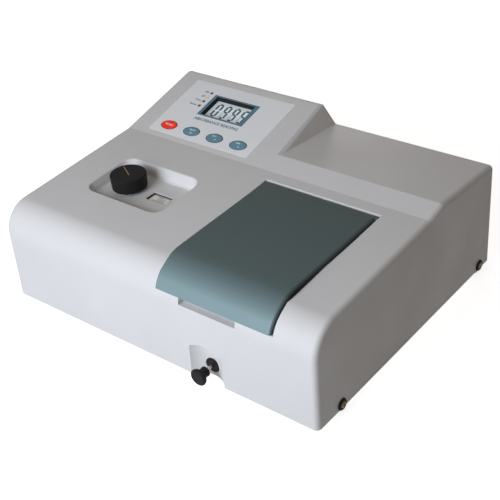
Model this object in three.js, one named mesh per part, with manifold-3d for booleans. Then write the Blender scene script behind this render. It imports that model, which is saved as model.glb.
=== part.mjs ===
// Bench spectrophotometer as an assembly of separate pieces.
// Millimetres, +Z up, front towards -Y, +X to the right.
// Pieces are laid out from the middle of the cover's lower front edge, then the group is shifted
// so that the origin lies on the table under the middle of the whole object.

import * as THREE from 'three';
import { mergeVertices } from 'three/addons/utils/BufferGeometryUtils.js';
import Module from 'manifold-3d';

const wasm = await Module();
wasm.setup();

// Clearances: between seated pieces, round running shafts and between sliding pieces.
const clearance = { seat: 0.3, run: 0.3, slide: 0.5 };
// Length by which every cutting tool overruns the surface that it opens.
const overrun = 4;
// Facets of round forms and of rounded corners.
const facets = { large: 48, round: 24, small: 14, tiny: 8 };
const cornerSteps = { nose: 9, edge: 3, pocket: 4, inside: 1 };

// Moulded top cover.
const cover = {
  sideLand: 49,
  depth: 340,
  wall: 3,
  frontLean: 2,
  deckFrontHeight: 111.5,
  rampStart: 204,
  rampStartHeight: 123,
  consoleHeight: 156.4,
  noseRadius: 34,
  sideRadius: 6,
  rampRadius: 5,
  consoleRearLean: 15,
  consoleRearRadius: 8,
  ridgeRun: 26,
  rearDeckHeight: 122,
  ridgeRadius: 2,
  rearEdgeRadius: 5,
  consoleMargin: 29.5,
  consoleTaper: 5.5,
  wallSplay: 7,
  consoleEdgeRadius: 6,
};

// Pocket round the wavelength knob, and the window slot in its floor.
const pocket = {
  aside: 21,
  width: 110,
  depth: 73,
  sink: 11.5,
  cornerRadius: 13,
  wallDraft: 3,
  floorFillet: 4,
};
const windowSlot = { length: 28, width: 15, fromAxis: 30, ledge: 1.5, plate: 1.5, sink: 0.5 };

// Smoky lid over the sample compartment, hinged at its rear edge.
const lid = {
  left: 16,
  right: 161,
  rear: 187.5,
  bendY: 38,
  bendHeight: 118.9,
  bendRadius: 15,
  noseRadius: 52,
  noseY: 2,
  noseHeight: 91,
  thickness: 3,
  edgeRadius: 3.5,
  barrelRadius: 3,
  pinRadius: 1.25,
};

// Opening of the cover under the lid, and the throat that frames it.
const opening = { lap: 6, rear: 177, sillHeight: 96, throatWall: 3, lugWidth: 8 };

// Finger scoop under the lid's nose.
const scoop = { left: 46, right: 117, bottom: 82.6, depth: 13, backing: 4 };

// Niche of the pull rod.
const niche = { chord: 43, depth: 10.5, crown: 42, crownDrop: 6.5, backing: 3 };

// Sample compartment box below the throat.
const well = { wall: 2.5, front: 31.5, floorHeight: 3, apertureRadius: 6 };

// Cell carriage with its guides, rod and knob.
const carriage = {
  centreX: 75,
  axisHeight: 13.5,
  cells: 4,
  pitch: 16,
  endWall: 2,
  cellSize: 12.8,
  rackWidth: 22,
  rackHeight: 32,
  cellFloor: 3,
  baseWidth: 40,
  baseHeight: 10,
  rearGap: 4,
  guideSpread: 28,
  guideRadius: 2.5,
  beamAboveFloor: 15,
  beamSlotWidth: 6,
  beamSlotHeight: 22,
};
const pullRod = { radius: 2.25, inKnob: 9, inBlock: 8 };
const pullKnob = { discRadius: 9.65, length: 14, front: -15 };
const escutcheon = { radius: 8.35, thickness: 1.6, barrelRadius: 5, barrelLength: 6 };

// Wavelength drive: knob, shaft, dial, cam and follower arm.
const knob = { radius: 20.8, height: 16.5, rise: 8.5, edge: 1.6, lineLength: 22, lineWidth: 1.4, lineDepth: 0.4 };
const drive = {
  fromSide: 87,
  axisY: 115.5,
  shaftRadius: 3,
  shaftInKnob: 9,
  bushRadius: 6,
  bushFlange: 9,
  bushFlangeHeight: 1.2,
  dialRadius: 60,
  dialThickness: 1.5,
  dialDrop: 1.3,
  camRadius: 20,
  camRise: 3.2,
  camThickness: 5,
  camLift: 3,
  hubGap: 2.5,
  hubRadius: 8,
  turn: 150,
  spiralMargin: 15,
  armLength: 71,
  armWidth: 6,
  followGap: 0.7,
};

// Monochromator with its optics.
const mono = {
  fromSide: 13,
  right: 17,
  front: 44,
  rear: 196,
  wall: 4,
  lidThickness: 3,
  portRadius: 6,
  inputX: -15,
  foldY: 150,
};
const optics = {
  mirrorRadius: 22,
  mirrorThickness: 6,
  foldWidth: 24,
  foldThickness: 3,
  foldHeight: 24,
  postWidth: 10,
  gratingWidth: 25,
  gratingHeight: 25,
  gratingThickness: 6,
  tableRadius: 15,
  tableThickness: 3,
  tableHeight: 18,
  spindleRadius: 3,
  slitPlateWidth: 18,
  slitPlateHeight: 22,
  slitPlateThickness: 1.2,
  slitWidth: 1,
  slitHeight: 8,
  lensRadius: 10,
  lensEdge: 2,
  lensBulge: 1.6,
};

// Lamp housing with its lamp.
const lamp = {
  width: 70,
  front: 215,
  depth: 85,
  height: 86,
  sheet: 2,
  lampY: 255,
  bulbRadius: 5,
  bulbHeight: 20,
  baseWidth: 16,
  baseDepth: 12,
  tubeLength: 15,
  tubeWall: 2,
  ventWidth: 3,
  ventHeight: 30,
  ventPitch: 9,
  vents: 6,
};

// Photocell box at the far side of the compartment.
const detector = { length: 38, width: 44, height: 56, wall: 3, gap: 1 };

// Console film, display, keys and indicators, measured up the slope from its foot.
const film = { fromSide: 28, width: 151, bottom: 8, top: 109, thickness: 0.8, proud: 0.3 };
const display = {
  fromFilm: 45.4,
  width: 60.2,
  bottom: 54.2,
  top: 89.8,
  sink: 5.2,
  border: 3,
  boardDrop: 13.6,
};
const keypad = {
  first: 22.6,
  pitch: 35.3,
  count: 4,
  rise: 22.6,
  length: 22,
  width: 14,
  rim: 0.5,
  proud: 0.7,
  stemRadius: 3,
  flange: 1,
  flangeThickness: 1,
  travel: 0.5,
};
const indicators = { fromFilm: 35.2, rises: [92, 83.4, 75.4, 66.6], radius: 2, flange: 0.8 };
const board = { thickness: 1.6, margin: 4, postRadius: 3 };

// Steel tray, rear panel and feet.
const chassis = { gap: 0.5, sheet: 1.5, underside: 1, notch: 16, flangeHeight: 16, ventWidth: 5, ventLength: 15, ventCount: 5 };
const rearPanel = { fromSide: 20, height: 78, recess: 3.5, sheet: 1.5 };
const rearWindow = { halfWidth: 110, height: 70 };
const foot = { topRadius: 12, bottomRadius: 10.5, height: 12, insetX: 15, insetFront: 48, insetRear: 17 };

// Cover fixings on the sides.
const fixing = {
  frontY: 39.6,
  rearY: 314.3,
  height: 5.7,
  washerRadius: 6.6,
  washerHeight: 1.8,
  screwRadius: 2,
  headRadius: 3.9,
  headHeight: 1.8,
  crossWidth: 1,
  crossLength: 4.6,
  length: 14,
};

// Electrical pieces.
const mainBoard = { fromSide: 15, width: 120, front: 215, depth: 105, lift: 9, postRadius: 3 };
const transformer = { left: 75, width: 66, front: 225, depth: 56, height: 54, coilBulge: 9, coilShare: 0.55 };
const inlet = { x: -70, height: 36, width: 28, tall: 20, depth: 22, flange: 6, plate: 2.2, wall: 2.4, pin: 2 };
const rocker = { x: -22, width: 13, tall: 19, bodyDepth: 14, bezel: 2.5, bezelPlate: 2, tilt: 8, pinRadius: 1.5 };
const vents = { count: 12, width: 3, height: 28, pitch: 12, fromSide: 32, bottom: 88 };

// Places across the width that several pieces share.
const coverHalf = lid.right + cover.sideLand;
const coverWidth = 2 * coverHalf;
const axisX = drive.fromSide - coverHalf;
const pocketX = axisX + pocket.aside;
const monoLeft = mono.fromSide - coverHalf;
const filmLeft = film.fromSide - coverHalf;
const filmRight = filmLeft + film.width;
const consoleEdge = filmRight + cover.consoleMargin;
const displayLeft = filmLeft + display.fromFilm;
const displayRight = displayLeft + display.width;
const indicatorX = filmLeft + indicators.fromFilm;
const keyPlaces = Array.from({ length: keypad.count }, (unused, i) => filmLeft + keypad.first + i * keypad.pitch);
const mainBoardLeft = mainBoard.fromSide - coverHalf;

// Heights, depths and slopes that several pieces share.
const deckSlope = (cover.rampStartHeight - cover.deckFrontHeight) / (cover.rampStart - cover.frontLean);
const deckHeight = (y) => cover.deckFrontHeight + deckSlope * (y - cover.frontLean);
const consoleRun = cover.depth - cover.rampStart;
const consoleRise = cover.consoleHeight - cover.rampStartHeight;
const consoleAngle = Math.atan2(consoleRise, consoleRun);
const consoleRear = {
  y: cover.depth - cover.consoleRearLean,
  z: cover.consoleHeight - cover.consoleRearLean * Math.tan(consoleAngle),
};
const ridge = {
  y: cover.rampStart + cover.ridgeRun,
  z: cover.rampStartHeight + cover.ridgeRun * Math.tan(consoleAngle),
};
const pocketFloor = deckHeight(drive.axisY) - pocket.sink;
const hinge = { y: lid.rear - lid.barrelRadius, z: deckHeight(lid.rear) - lid.barrelRadius };
const chassisTop = chassis.underside + chassis.sheet;
const innerX = {
  left: lid.left + opening.lap,
  right: lid.right - opening.lap,
};
const throat = {
  left: innerX.left - opening.throatWall,
  right: innerX.right + opening.throatWall,
  bottom: opening.sillHeight - opening.throatWall,
};
const wellTop = throat.bottom - clearance.seat;
const wellBottom = chassisTop + clearance.seat;
const wellFloor = wellBottom + well.floorHeight;
const wellOuter = {
  left: innerX.left - well.wall,
  right: innerX.right + well.wall,
  front: well.front,
  rear: opening.rear + well.wall,
};
const rackLength = carriage.cells * carriage.pitch + 2 * carriage.endWall;
const carriageRear = opening.rear - carriage.rearGap;
const carriageFront = carriageRear - rackLength;
const carriageBase = carriage.axisHeight - carriage.baseHeight / 2;
const rackBottom = carriageBase + carriage.baseHeight;
const cellFloorHeight = rackBottom + carriage.cellFloor;
const beam = {
  y: carriageFront + carriage.endWall + carriage.pitch / 2,
  z: cellFloorHeight + carriage.beamAboveFloor,
};
const monoBottom = chassisTop + clearance.seat;
const dialTop = pocketFloor - cover.wall - drive.dialDrop;
const hubBottom = dialTop - 3 * drive.dialThickness;
const camBottom = hubBottom - drive.hubGap - drive.camThickness;
const monoLidTop = camBottom - drive.camLift;
const monoTop = monoLidTop - mono.lidThickness - clearance.seat;
const grating = {
  x: axisX + drive.armLength,
  y: drive.axisY + drive.camRadius + drive.followGap + drive.armWidth / 2,
};
const panelFront = cover.depth - rearPanel.recess;

// Geometry helpers: every helper returns a closed BufferGeometry.
function toSolid(geometry) {
  const bare = new THREE.BufferGeometry();
  bare.setAttribute('position', geometry.getAttribute('position').clone());
  if (geometry.index) {
    bare.setIndex(geometry.index.clone());
  }
  const merged = mergeVertices(bare);
  const mesh = new wasm.Mesh({
    numProp: 3,
    vertProperties: Float32Array.from(merged.getAttribute('position').array),
    triVerts: Uint32Array.from(merged.index.array),
  });
  return new wasm.Manifold(mesh);
}

function toGeometry(solid) {
  const mesh = solid.getMesh();
  const geometry = new THREE.BufferGeometry();
  geometry.setAttribute('position', new THREE.BufferAttribute(Float32Array.from(mesh.vertProperties), 3));
  geometry.setIndex(new THREE.BufferAttribute(Uint32Array.from(mesh.triVerts), 1));
  return geometry;
}

function join(...geometries) {
  return toGeometry(geometries.map(toSolid).reduce((whole, piece) => whole.add(piece)));
}

function cut(base, ...tools) {
  return toGeometry(tools.map(toSolid).reduce((rest, tool) => rest.subtract(tool), toSolid(base)));
}

function common(first, second) {
  return toGeometry(toSolid(first).intersect(toSolid(second)));
}

function box(x0, x1, y0, y1, z0, z1) {
  const geometry = new THREE.BoxGeometry(x1 - x0, y1 - y0, z1 - z0);
  return geometry.translate((x0 + x1) / 2, (y0 + y1) / 2, (z0 + z1) / 2);
}

// Round bar along 'x', 'y' or 'z' from one coordinate to another, with its axis through the other two.
function bar(axis, from, to, a, b, radius, sides) {
  const geometry = new THREE.CylinderGeometry(radius, radius, to - from, sides);
  const middle = (from + to) / 2;
  if (axis === 'x') {
    return geometry.rotateZ(Math.PI / 2).translate(middle, a, b);
  }
  if (axis === 'y') {
    return geometry.translate(a, middle, b);
  }
  return geometry.rotateX(Math.PI / 2).translate(a, b, middle);
}

// Solid of revolution about Z from [radius, height] pairs that start and end on the axis.
function turned(profile, sides) {
  const points = profile.map(([radius, height]) => new THREE.Vector2(radius, height));
  return new THREE.LatheGeometry(points, sides).rotateX(Math.PI / 2);
}

// Outline of corners [u, v, radius, facets], anticlockwise, moved inwards by inset, with round corners.
function roundedOutline(corners, inset, steps) {
  const points = [];
  const count = corners.length;
  for (let i = 0; i < count; i += 1) {
    const [u, v, radius, cornerFacets = steps] = corners[i];
    const before = corners[(i + count - 1) % count];
    const after = corners[(i + 1) % count];
    const arrive = new THREE.Vector2(u - before[0], v - before[1]).normalize();
    const leave = new THREE.Vector2(after[0] - u, after[1] - v).normalize();
    const inArrive = new THREE.Vector2(-arrive.y, arrive.x);
    const inLeave = new THREE.Vector2(-leave.y, leave.x);
    const shift = inset / (1 + inArrive.dot(inLeave));
    const corner = new THREE.Vector2(u, v).addScaledVector(inArrive, shift).addScaledVector(inLeave, shift);
    if (radius === 0) {
      points.push(corner);
      continue;
    }
    const turn = Math.atan2(arrive.cross(leave), arrive.dot(leave));
    const side = Math.sign(turn);
    const arc = Math.max(radius - side * inset, radius / 10);
    const back = arc * Math.tan(Math.abs(turn) / 2);
    const start = corner.clone().addScaledVector(arrive, -back);
    const centre = start.clone().addScaledVector(inArrive, side * arc);
    const spoke = start.clone().sub(centre);
    for (let step = 0; step <= cornerFacets; step += 1) {
      points.push(spoke.clone().rotateAround(new THREE.Vector2(), (turn * step) / cornerFacets).add(centre));
    }
  }
  return points;
}

// Closed skin over sections of equal point count; place maps (u, v, at) to a point in space.
function loft(sections, place) {
  const count = sections[0].outline.length;
  const positions = [];
  const indices = [];
  const clockwise = THREE.ShapeUtils.isClockWise(sections[0].outline);
  const rings = sections.map(({ outline }) => (clockwise ? [...outline].reverse() : outline));
  rings.forEach((outline, ring) => {
    const { at } = sections[ring];
    outline.forEach((point) => positions.push(...place(point.x, point.y, at).toArray()));
  });
  for (let ring = 0; ring + 1 < sections.length; ring += 1) {
    for (let i = 0; i < count; i += 1) {
      const a = ring * count + i;
      const b = ring * count + ((i + 1) % count);
      indices.push(a, b, b + count, a, b + count, a + count);
    }
  }
  const last = (sections.length - 1) * count;
  THREE.ShapeUtils.triangulateShape(rings[0], []).forEach(([a, b, c]) => indices.push(a, c, b));
  const lastCap = THREE.ShapeUtils.triangulateShape(rings[rings.length - 1], []);
  lastCap.forEach(([a, b, c]) => indices.push(last + a, last + b, last + c));
  const geometry = new THREE.BufferGeometry();
  geometry.setAttribute('position', new THREE.Float32BufferAttribute(positions, 3));
  geometry.setIndex(signedVolume(positions, indices) < 0 ? flipped(indices) : indices);
  return geometry;
}

function signedVolume(positions, indices) {
  const corner = (index) => new THREE.Vector3().fromArray(positions, 3 * index);
  let volume = 0;
  for (let i = 0; i < indices.length; i += 3) {
    volume += corner(indices[i]).dot(corner(indices[i + 1]).cross(corner(indices[i + 2])));
  }
  return volume;
}

function flipped(indices) {
  const turnedOver = [];
  for (let i = 0; i < indices.length; i += 3) {
    turnedOver.push(indices[i], indices[i + 2], indices[i + 1]);
  }
  return turnedOver;
}

const alongX = (u, v, at) => new THREE.Vector3(at, u, v);
const alongZ = (u, v, at) => new THREE.Vector3(u, v, at);

// Prism of a (y, z) outline along X whose two ends are rounded off by a radius.
function roundEndedPrism(corners, x0, x1, endRadius, inset, steps) {
  const sections = [];
  const radius = Math.max(endRadius - inset, endRadius / 10);
  for (let step = 0; step <= steps; step += 1) {
    const angle = (Math.PI / 2) * (step / steps);
    const outline = roundedOutline(corners, inset + radius * (1 - Math.cos(angle)), steps);
    const inwards = inset + radius * (1 - Math.sin(angle));
    sections.unshift({ at: x0 + inwards, outline });
    sections.push({ at: x1 - inwards, outline });
  }
  return loft(sections, alongX);
}

// Tool that rounds the straight edge between two flat faces, given a point on it and the outward normals.
function edgeRounder(point, direction, normalA, normalB, radius, reach) {
  const along = direction.clone().normalize();
  const e1 = normalA.clone().normalize();
  const e2 = new THREE.Vector3().crossVectors(along, e1).normalize();
  const b = new THREE.Vector2(normalB.dot(e1), normalB.dot(e2)).normalize();
  const a = new THREE.Vector2(1, 0);
  const centre = a.clone().add(b).multiplyScalar(-radius / (1 + a.dot(b)));
  const turn = Math.atan2(a.cross(b), a.dot(b));
  const shape = [];
  for (let step = 0; step <= cornerSteps.pocket; step += 1) {
    const angle = (turn * step) / cornerSteps.pocket;
    shape.push(new THREE.Vector2(Math.cos(angle), Math.sin(angle)).multiplyScalar(radius).add(centre));
  }
  shape.push(shape[shape.length - 1].clone().addScaledVector(b, radius));
  shape.push(a.clone().add(b).multiplyScalar(radius));
  shape.push(shape[0].clone().addScaledVector(a, radius));
  const place = (u, v, at) => point.clone().addScaledVector(e1, u).addScaledVector(e2, v).addScaledVector(along, at);
  return loft([{ outline: shape, at: -reach }, { outline: shape, at: reach }], place);
}

// Matrix of the console's face: X across, Y up the slope from its foot, Z out of the face.
const consoleMatrix = new THREE.Matrix4()
  .makeRotationX(consoleAngle)
  .setPosition(0, cover.rampStart, cover.rampStartHeight);
const onConsole = (geometry) => geometry.applyMatrix4(consoleMatrix);

// Outlines of the cover in (y, z), from the front foot round the rear, with the overrun below the rim.
function consoleCorners(noseFacets) {
  return [
    [cover.depth, -overrun * 2, 0],
    [cover.depth, cover.rearDeckHeight, cover.rearEdgeRadius],
    [consoleRear.y, consoleRear.z, cover.consoleRearRadius],
    [cover.rampStart, cover.rampStartHeight, cover.rampRadius],
    [cover.frontLean, cover.deckFrontHeight, cover.noseRadius, noseFacets],
    [0, 0, 0],
    [0, -overrun * 2, 0],
  ];
}

function rearDeckCorners(noseFacets) {
  return [
    [cover.depth, -overrun * 2, 0],
    [cover.depth, cover.rearDeckHeight, cover.rearEdgeRadius],
    [ridge.y, ridge.z, cover.ridgeRadius],
    [cover.rampStart, cover.rampStartHeight, cover.rampRadius],
    [cover.frontLean, cover.deckFrontHeight, cover.noseRadius, noseFacets],
    [0, 0, 0],
    [0, -overrun * 2, 0],
  ];
}

// Block of the cover without its hollow, moved inwards by inset.
function coverBlock(inset) {
  const half = coverHalf;
  const steps = inset > 0 ? cornerSteps.inside : cornerSteps.edge;
  const noseFacets = inset > 0 ? cornerSteps.pocket : cornerSteps.nose;
  const low = roundEndedPrism(rearDeckCorners(noseFacets), -half, half, cover.sideRadius, inset, steps);
  const high = roundEndedPrism(consoleCorners(noseFacets), -half, half, cover.sideRadius, inset, steps);
  return join(low, consoleTrim(high, inset));
}

// Console part of the block: cut off at its sloping right wall, whose edges are rounded.
function consoleTrim(high, inset) {
  const foot = new THREE.Vector3(consoleEdge + cover.consoleTaper, ridge.y, ridge.z);
  const top = new THREE.Vector3(consoleEdge, consoleRear.y, consoleRear.z);
  const rearFoot = new THREE.Vector3(consoleEdge + cover.wallSplay, cover.depth, cover.rearDeckHeight);
  const up = top.clone().sub(foot).normalize();
  const outwards = rearFoot.clone().sub(foot).cross(up).normalize();
  const across = new THREE.Vector3().crossVectors(outwards, up);
  const inner = foot.clone().addScaledVector(outwards, -inset);
  const reach = coverWidth + cover.depth;
  const matrix = new THREE.Matrix4().makeBasis(outwards, up, across).setPosition(inner);
  const beyond = box(0, reach, -reach, reach, -reach, reach).applyMatrix4(matrix);
  const faceNormal = new THREE.Vector3(0, -Math.sin(consoleAngle), Math.cos(consoleAngle));
  const rearNormal = new THREE.Vector3(0, consoleRear.z - cover.rearDeckHeight, cover.consoleRearLean).normalize();
  const radius = Math.max(cover.consoleEdgeRadius - inset, cover.consoleEdgeRadius / 10);
  const edgePoint = meetingPoint(inner, outwards, faceNormal, foot, inset);
  const faceEdge = edgeRounder(edgePoint, up, faceNormal, outwards, radius, reach);
  const upright = new THREE.Vector3().crossVectors(rearNormal, outwards);
  const rearPoint = meetingPoint(inner, outwards, rearNormal, top, inset);
  const rearEdge = edgeRounder(rearPoint, upright, rearNormal, outwards, radius, reach);
  return cut(high, beyond, faceEdge, rearEdge);
}

// Point on the line where the plane through inner meets a second plane, both moved inwards by inset.
function meetingPoint(inner, outwards, normal, onSecond, inset) {
  const lack = onSecond.clone().addScaledVector(normal, -inset).sub(inner).dot(normal);
  const inPlane = normal.clone().addScaledVector(outwards, -normal.dot(outwards));
  return inner.clone().addScaledVector(inPlane, lack / inPlane.dot(normal));
}

// Pocket tool or tub: outline grown by grow, from its floor up through the deck.
function pocketForm(grow, floorHeight) {
  const half = { x: pocket.width / 2, y: pocket.depth / 2 };
  const corners = [
    [pocketX - half.x, drive.axisY - half.y, pocket.cornerRadius],
    [pocketX + half.x, drive.axisY - half.y, pocket.cornerRadius],
    [pocketX + half.x, drive.axisY + half.y, pocket.cornerRadius],
    [pocketX - half.x, drive.axisY + half.y, pocket.cornerRadius],
  ];
  const rise = pocket.floorFillet;
  const top = deckHeight(drive.axisY + half.y);
  const levels = [
    [floorHeight, pocket.wallDraft + rise],
    [floorHeight + rise * (1 - Math.SQRT1_2), pocket.wallDraft + rise * (1 - Math.SQRT1_2)],
    [floorHeight + rise, pocket.wallDraft],
    [top, 0],
    [top + overrun, 0],
  ];
  return loft(
    levels.map(([at, dip]) => ({ at, outline: roundedOutline(corners, dip - grow, cornerSteps.pocket) })),
    alongZ,
  );
}

// Outer curve of the lid in (y, z) as corner list points, from the rear to the nose's lower edge.
function lidNoseArc(offset) {
  const chord = new THREE.Vector2(lid.noseY - lid.bendY, lid.noseHeight - lid.bendHeight);
  const half = chord.length() / 2;
  const middle = new THREE.Vector2(lid.bendY, lid.bendHeight).addScaledVector(chord, 1 / 2);
  const inwards = new THREE.Vector2(-chord.y, chord.x).normalize();
  if (inwards.y > 0) {
    inwards.negate();
  }
  const centre = middle.addScaledVector(inwards, Math.sqrt(lid.noseRadius ** 2 - half ** 2));
  const startAngle = Math.atan2(lid.bendHeight - centre.y, lid.bendY - centre.x);
  const endAngle = Math.atan2(lid.noseHeight - centre.y, lid.noseY - centre.x);
  const points = [];
  for (let step = 0; step <= cornerSteps.nose; step += 1) {
    const angle = startAngle + ((endAngle - startAngle) * step) / cornerSteps.nose;
    const radius = lid.noseRadius - offset;
    points.push([centre.x + radius * Math.cos(angle), centre.y + radius * Math.sin(angle)]);
  }
  return points;
}

// Closed (y, z) outline of the space under the lid's outer face moved inwards by offset.
function lidOutline(offset) {
  const arc = lidNoseArc(offset);
  const slope = (hinge.z + lid.barrelRadius - lid.bendHeight) / (hinge.y - lid.bendY);
  const topAt = (y) => lid.bendHeight + slope * (y - lid.bendY) - offset;
  const underside = lid.noseHeight - 3 * overrun;
  const blendEnd = lid.bendY + lid.bendRadius / 2;
  const points = [new THREE.Vector2(hinge.y, underside), new THREE.Vector2(hinge.y, topAt(hinge.y))];
  points.push(new THREE.Vector2(blendEnd, topAt(blendEnd)));
  arc.forEach(([y, z], index) => {
    const lowered = index === 0 ? z - lid.bendRadius / 50 : z;
    points.push(new THREE.Vector2(y, lowered));
  });
  const tip = points[points.length - 1];
  const beforeTip = points[points.length - 2];
  const onwards = tip.clone().sub(beforeTip).normalize();
  points.push(tip.clone().addScaledVector(onwards, overrun));
  return points.reverse();
}

// Prism of the lid's outline along X with rounded long edges.
function lidBlock(offset, x0, x1, endRadius) {
  const steps = endRadius > 0 ? cornerSteps.edge : 0;
  const sections = [];
  for (let step = 0; step <= steps; step += 1) {
    const angle = steps > 0 ? (Math.PI / 2) * (1 - step / steps) : 0;
    const dip = endRadius * (1 - Math.cos(angle));
    const inwards = endRadius * (1 - Math.sin(angle));
    sections.push({ low: x0 + inwards, high: x1 - inwards, dip });
  }
  const lowSide = sections.map(({ low, dip }) => ({ at: low, outline: lidOutline(offset + dip) }));
  const highSide = sections.map(({ high, dip }) => ({ at: high, outline: lidOutline(offset + dip) }));
  return loft([...lowSide, ...highSide.reverse()], alongX);
}

// Space that the lid needs in the cover: everything above its underside, and the hinge trough.
function lidSeat() {
  const left = lid.left - clearance.slide;
  const right = lid.right + clearance.slide;
  const top = cover.consoleHeight;
  const under = lidBlock(lid.thickness + clearance.slide, left - overrun, right + overrun, 0);
  const above = box(left, right, -overrun, hinge.y, lid.noseHeight - clearance.slide, top);
  const troughRadius = lid.barrelRadius + 2 * clearance.run;
  const trough = bar('x', left, right, hinge.y, hinge.z, troughRadius, facets.round);
  const mouth = box(left, right, hinge.y, hinge.y + troughRadius, hinge.z, top);
  return join(cut(above, under), trough, mouth);
}

// Frame of the compartment opening with its front sill, the rear hinge block and the pin lugs.
function throatBlock() {
  const rear = hinge.y + 2 * lid.barrelRadius;
  const skin = cover.wall / 3;
  const frame = box(throat.left, throat.right, 0, rear, throat.bottom, cover.consoleHeight);
  const lugLow = hinge.z - 2 * lid.barrelRadius;
  const lugLeft = lid.left - opening.lugWidth;
  const lugRight = lid.right + opening.lugWidth;
  const lugs = box(lugLeft, lugRight, opening.rear, rear, lugLow, cover.consoleHeight);
  return common(join(frame, lugs), coverBlock(skin));
}

function openingTool() {
  const top = cover.consoleHeight;
  const innerFront = well.front + well.wall;
  const { left, right } = innerX;
  const shaft = box(left, right, innerFront, opening.rear, throat.bottom - overrun, top);
  const mouth = box(left, right, -overrun, opening.rear, opening.sillHeight, top);
  const pinX = { from: lid.left - opening.lugWidth - overrun, to: lid.right + opening.lugWidth + overrun };
  const pinHole = bar('x', pinX.from, pinX.to, hinge.y, hinge.z, lid.pinRadius + clearance.run, facets.tiny);
  return join(join(shaft, mouth), pinHole);
}

// Finger scoop: a quarter ellipse in (y, z) swept across, and the material behind it.
function scoopTool() {
  const rise = opening.sillHeight - scoop.bottom;
  const outline = [new THREE.Vector2(-overrun, opening.sillHeight + overrun), new THREE.Vector2(-overrun, scoop.bottom)];
  for (let step = 0; step <= cornerSteps.pocket; step += 1) {
    const angle = (Math.PI / 2) * (step / cornerSteps.pocket);
    outline.push(new THREE.Vector2(scoop.depth * Math.sin(angle), scoop.bottom + rise * (1 - Math.cos(angle))));
  }
  outline.push(new THREE.Vector2(scoop.depth, opening.sillHeight + overrun));
  return loft([{ at: scoop.left, outline }, { at: scoop.right, outline }], alongX);
}

function scoopBacking() {
  const { left, right, bottom, depth, backing } = scoop;
  const block = box(left - backing, right + backing, 0, depth + backing, bottom - backing, opening.sillHeight);
  return common(block, coverBlock(cover.wall / 3));
}

// Niche of the pull rod: an upright cylinder under an arched crown.
function nicheForm(grow) {
  const half = niche.chord / 2;
  const radius = (half ** 2 + niche.depth ** 2) / (2 * niche.depth);
  const crownRadius = (half ** 2 + niche.crownDrop ** 2) / (2 * niche.crownDrop);
  const centreY = niche.depth - radius;
  const x = carriage.centreX;
  const crownZ = niche.crown - crownRadius;
  const upright = bar('z', -overrun, niche.crown + overrun, x, centreY, radius + grow, facets.large);
  const crown = bar('y', -crownRadius, 2 * niche.depth, x, crownZ, crownRadius + grow, facets.large);
  return common(upright, crown);
}

function nicheTools() {
  const x = carriage.centreX;
  const z = carriage.axisHeight;
  const spot = bar('y', 0, niche.depth, x, z, escutcheon.radius + clearance.seat, facets.round);
  const reach = niche.depth + niche.backing + overrun;
  const hole = bar('y', 0, reach, x, z, escutcheon.barrelRadius + clearance.seat, facets.small);
  return join(nicheForm(0), spot, hole);
}

// Flat oval disc about Z, used for the keys and their holes.
function oval(length, width, z0, z1) {
  const geometry = new THREE.CylinderGeometry(length / 2, length / 2, z1 - z0, facets.round).rotateX(Math.PI / 2);
  return geometry.scale(1, width / length, 1).translate(0, 0, (z0 + z1) / 2);
}

function stud(x, y, z0, z1, radius, sides) {
  return bar('z', z0, z1, x, y, radius, sides);
}

// Openings of the console face, all in the console's own coordinates.
function consoleTools() {
  const low = -cover.wall - overrun;
  const slack = clearance.slide;
  const recess = box(
    filmLeft - clearance.seat,
    filmRight + clearance.seat,
    film.bottom - clearance.seat,
    film.top + clearance.seat,
    film.proud - film.thickness - clearance.seat,
    overrun,
  );
  const windowHole = box(
    displayLeft - slack,
    displayRight + slack,
    display.bottom - slack,
    display.top + slack,
    low,
    overrun,
  );
  const keyHoles = keyPlaces.map((x) => {
    const hole = oval(keypad.length + 2 * keypad.rim, keypad.width + 2 * keypad.rim, low, overrun);
    return hole.translate(x, keypad.rise, 0);
  });
  const lampHoles = indicators.rises.map((rise) => {
    return stud(indicatorX, rise, low, overrun, indicators.radius + clearance.run, facets.tiny);
  });
  return [recess, windowHole, ...keyHoles, ...lampHoles].map(onConsole);
}

function boardPostPlaces() {
  const inset = board.margin + board.postRadius;
  return [
    [filmLeft + inset, film.bottom + inset],
    [filmRight - inset, film.bottom + inset],
    [filmLeft + inset, film.top - inset],
    [filmRight - inset, film.top - inset],
  ];
}

function consolePosts() {
  return boardPostPlaces().map(([x, rise]) => {
    const low = -display.boardDrop + clearance.seat;
    return onConsole(stud(x, rise, low, -cover.wall / 2, board.postRadius, facets.tiny));
  });
}

// Holes for the cover screws, as tools along X on both sides.
function screwTools(radius) {
  const half = coverHalf;
  const reach = 6 * cover.wall;
  const tools = [];
  [fixing.frontY, fixing.rearY].forEach((y) => {
    tools.push(bar('x', half - reach, half + overrun, y, fixing.height, radius, facets.small));
    tools.push(bar('x', -half - overrun, reach - half, y, fixing.height, radius, facets.small));
  });
  return tools;
}

function rearWallTools() {
  const from = cover.depth - cover.wall - overrun;
  const to = cover.depth + overrun;
  const tools = [box(-rearWindow.halfWidth, rearWindow.halfWidth, from, to, -overrun, rearWindow.height)];
  for (let i = 0; i < vents.count; i += 1) {
    const x = vents.fromSide - coverHalf + i * vents.pitch;
    tools.push(box(x, x + vents.width, from, to, vents.bottom, vents.bottom + vents.height));
  }
  return tools;
}

function windowSlotTools() {
  const right = axisX + windowSlot.fromAxis + windowSlot.length;
  const left = axisX + windowSlot.fromAxis;
  const half = windowSlot.width / 2;
  const y = drive.axisY;
  const shelf = pocketFloor - windowSlot.sink - windowSlot.plate - clearance.seat;
  const inset = windowSlot.ledge;
  const lower = pocketFloor - 2 * cover.wall;
  return [
    box(left, right, y - half, y + half, shelf, pocketFloor + overrun),
    box(left + inset, right - inset, y - half + inset, y + half - inset, lower, pocketFloor),
    bar('z', lower, pocketFloor + overrun, axisX, y, drive.bushRadius + clearance.seat, facets.round),
  ];
}

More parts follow.
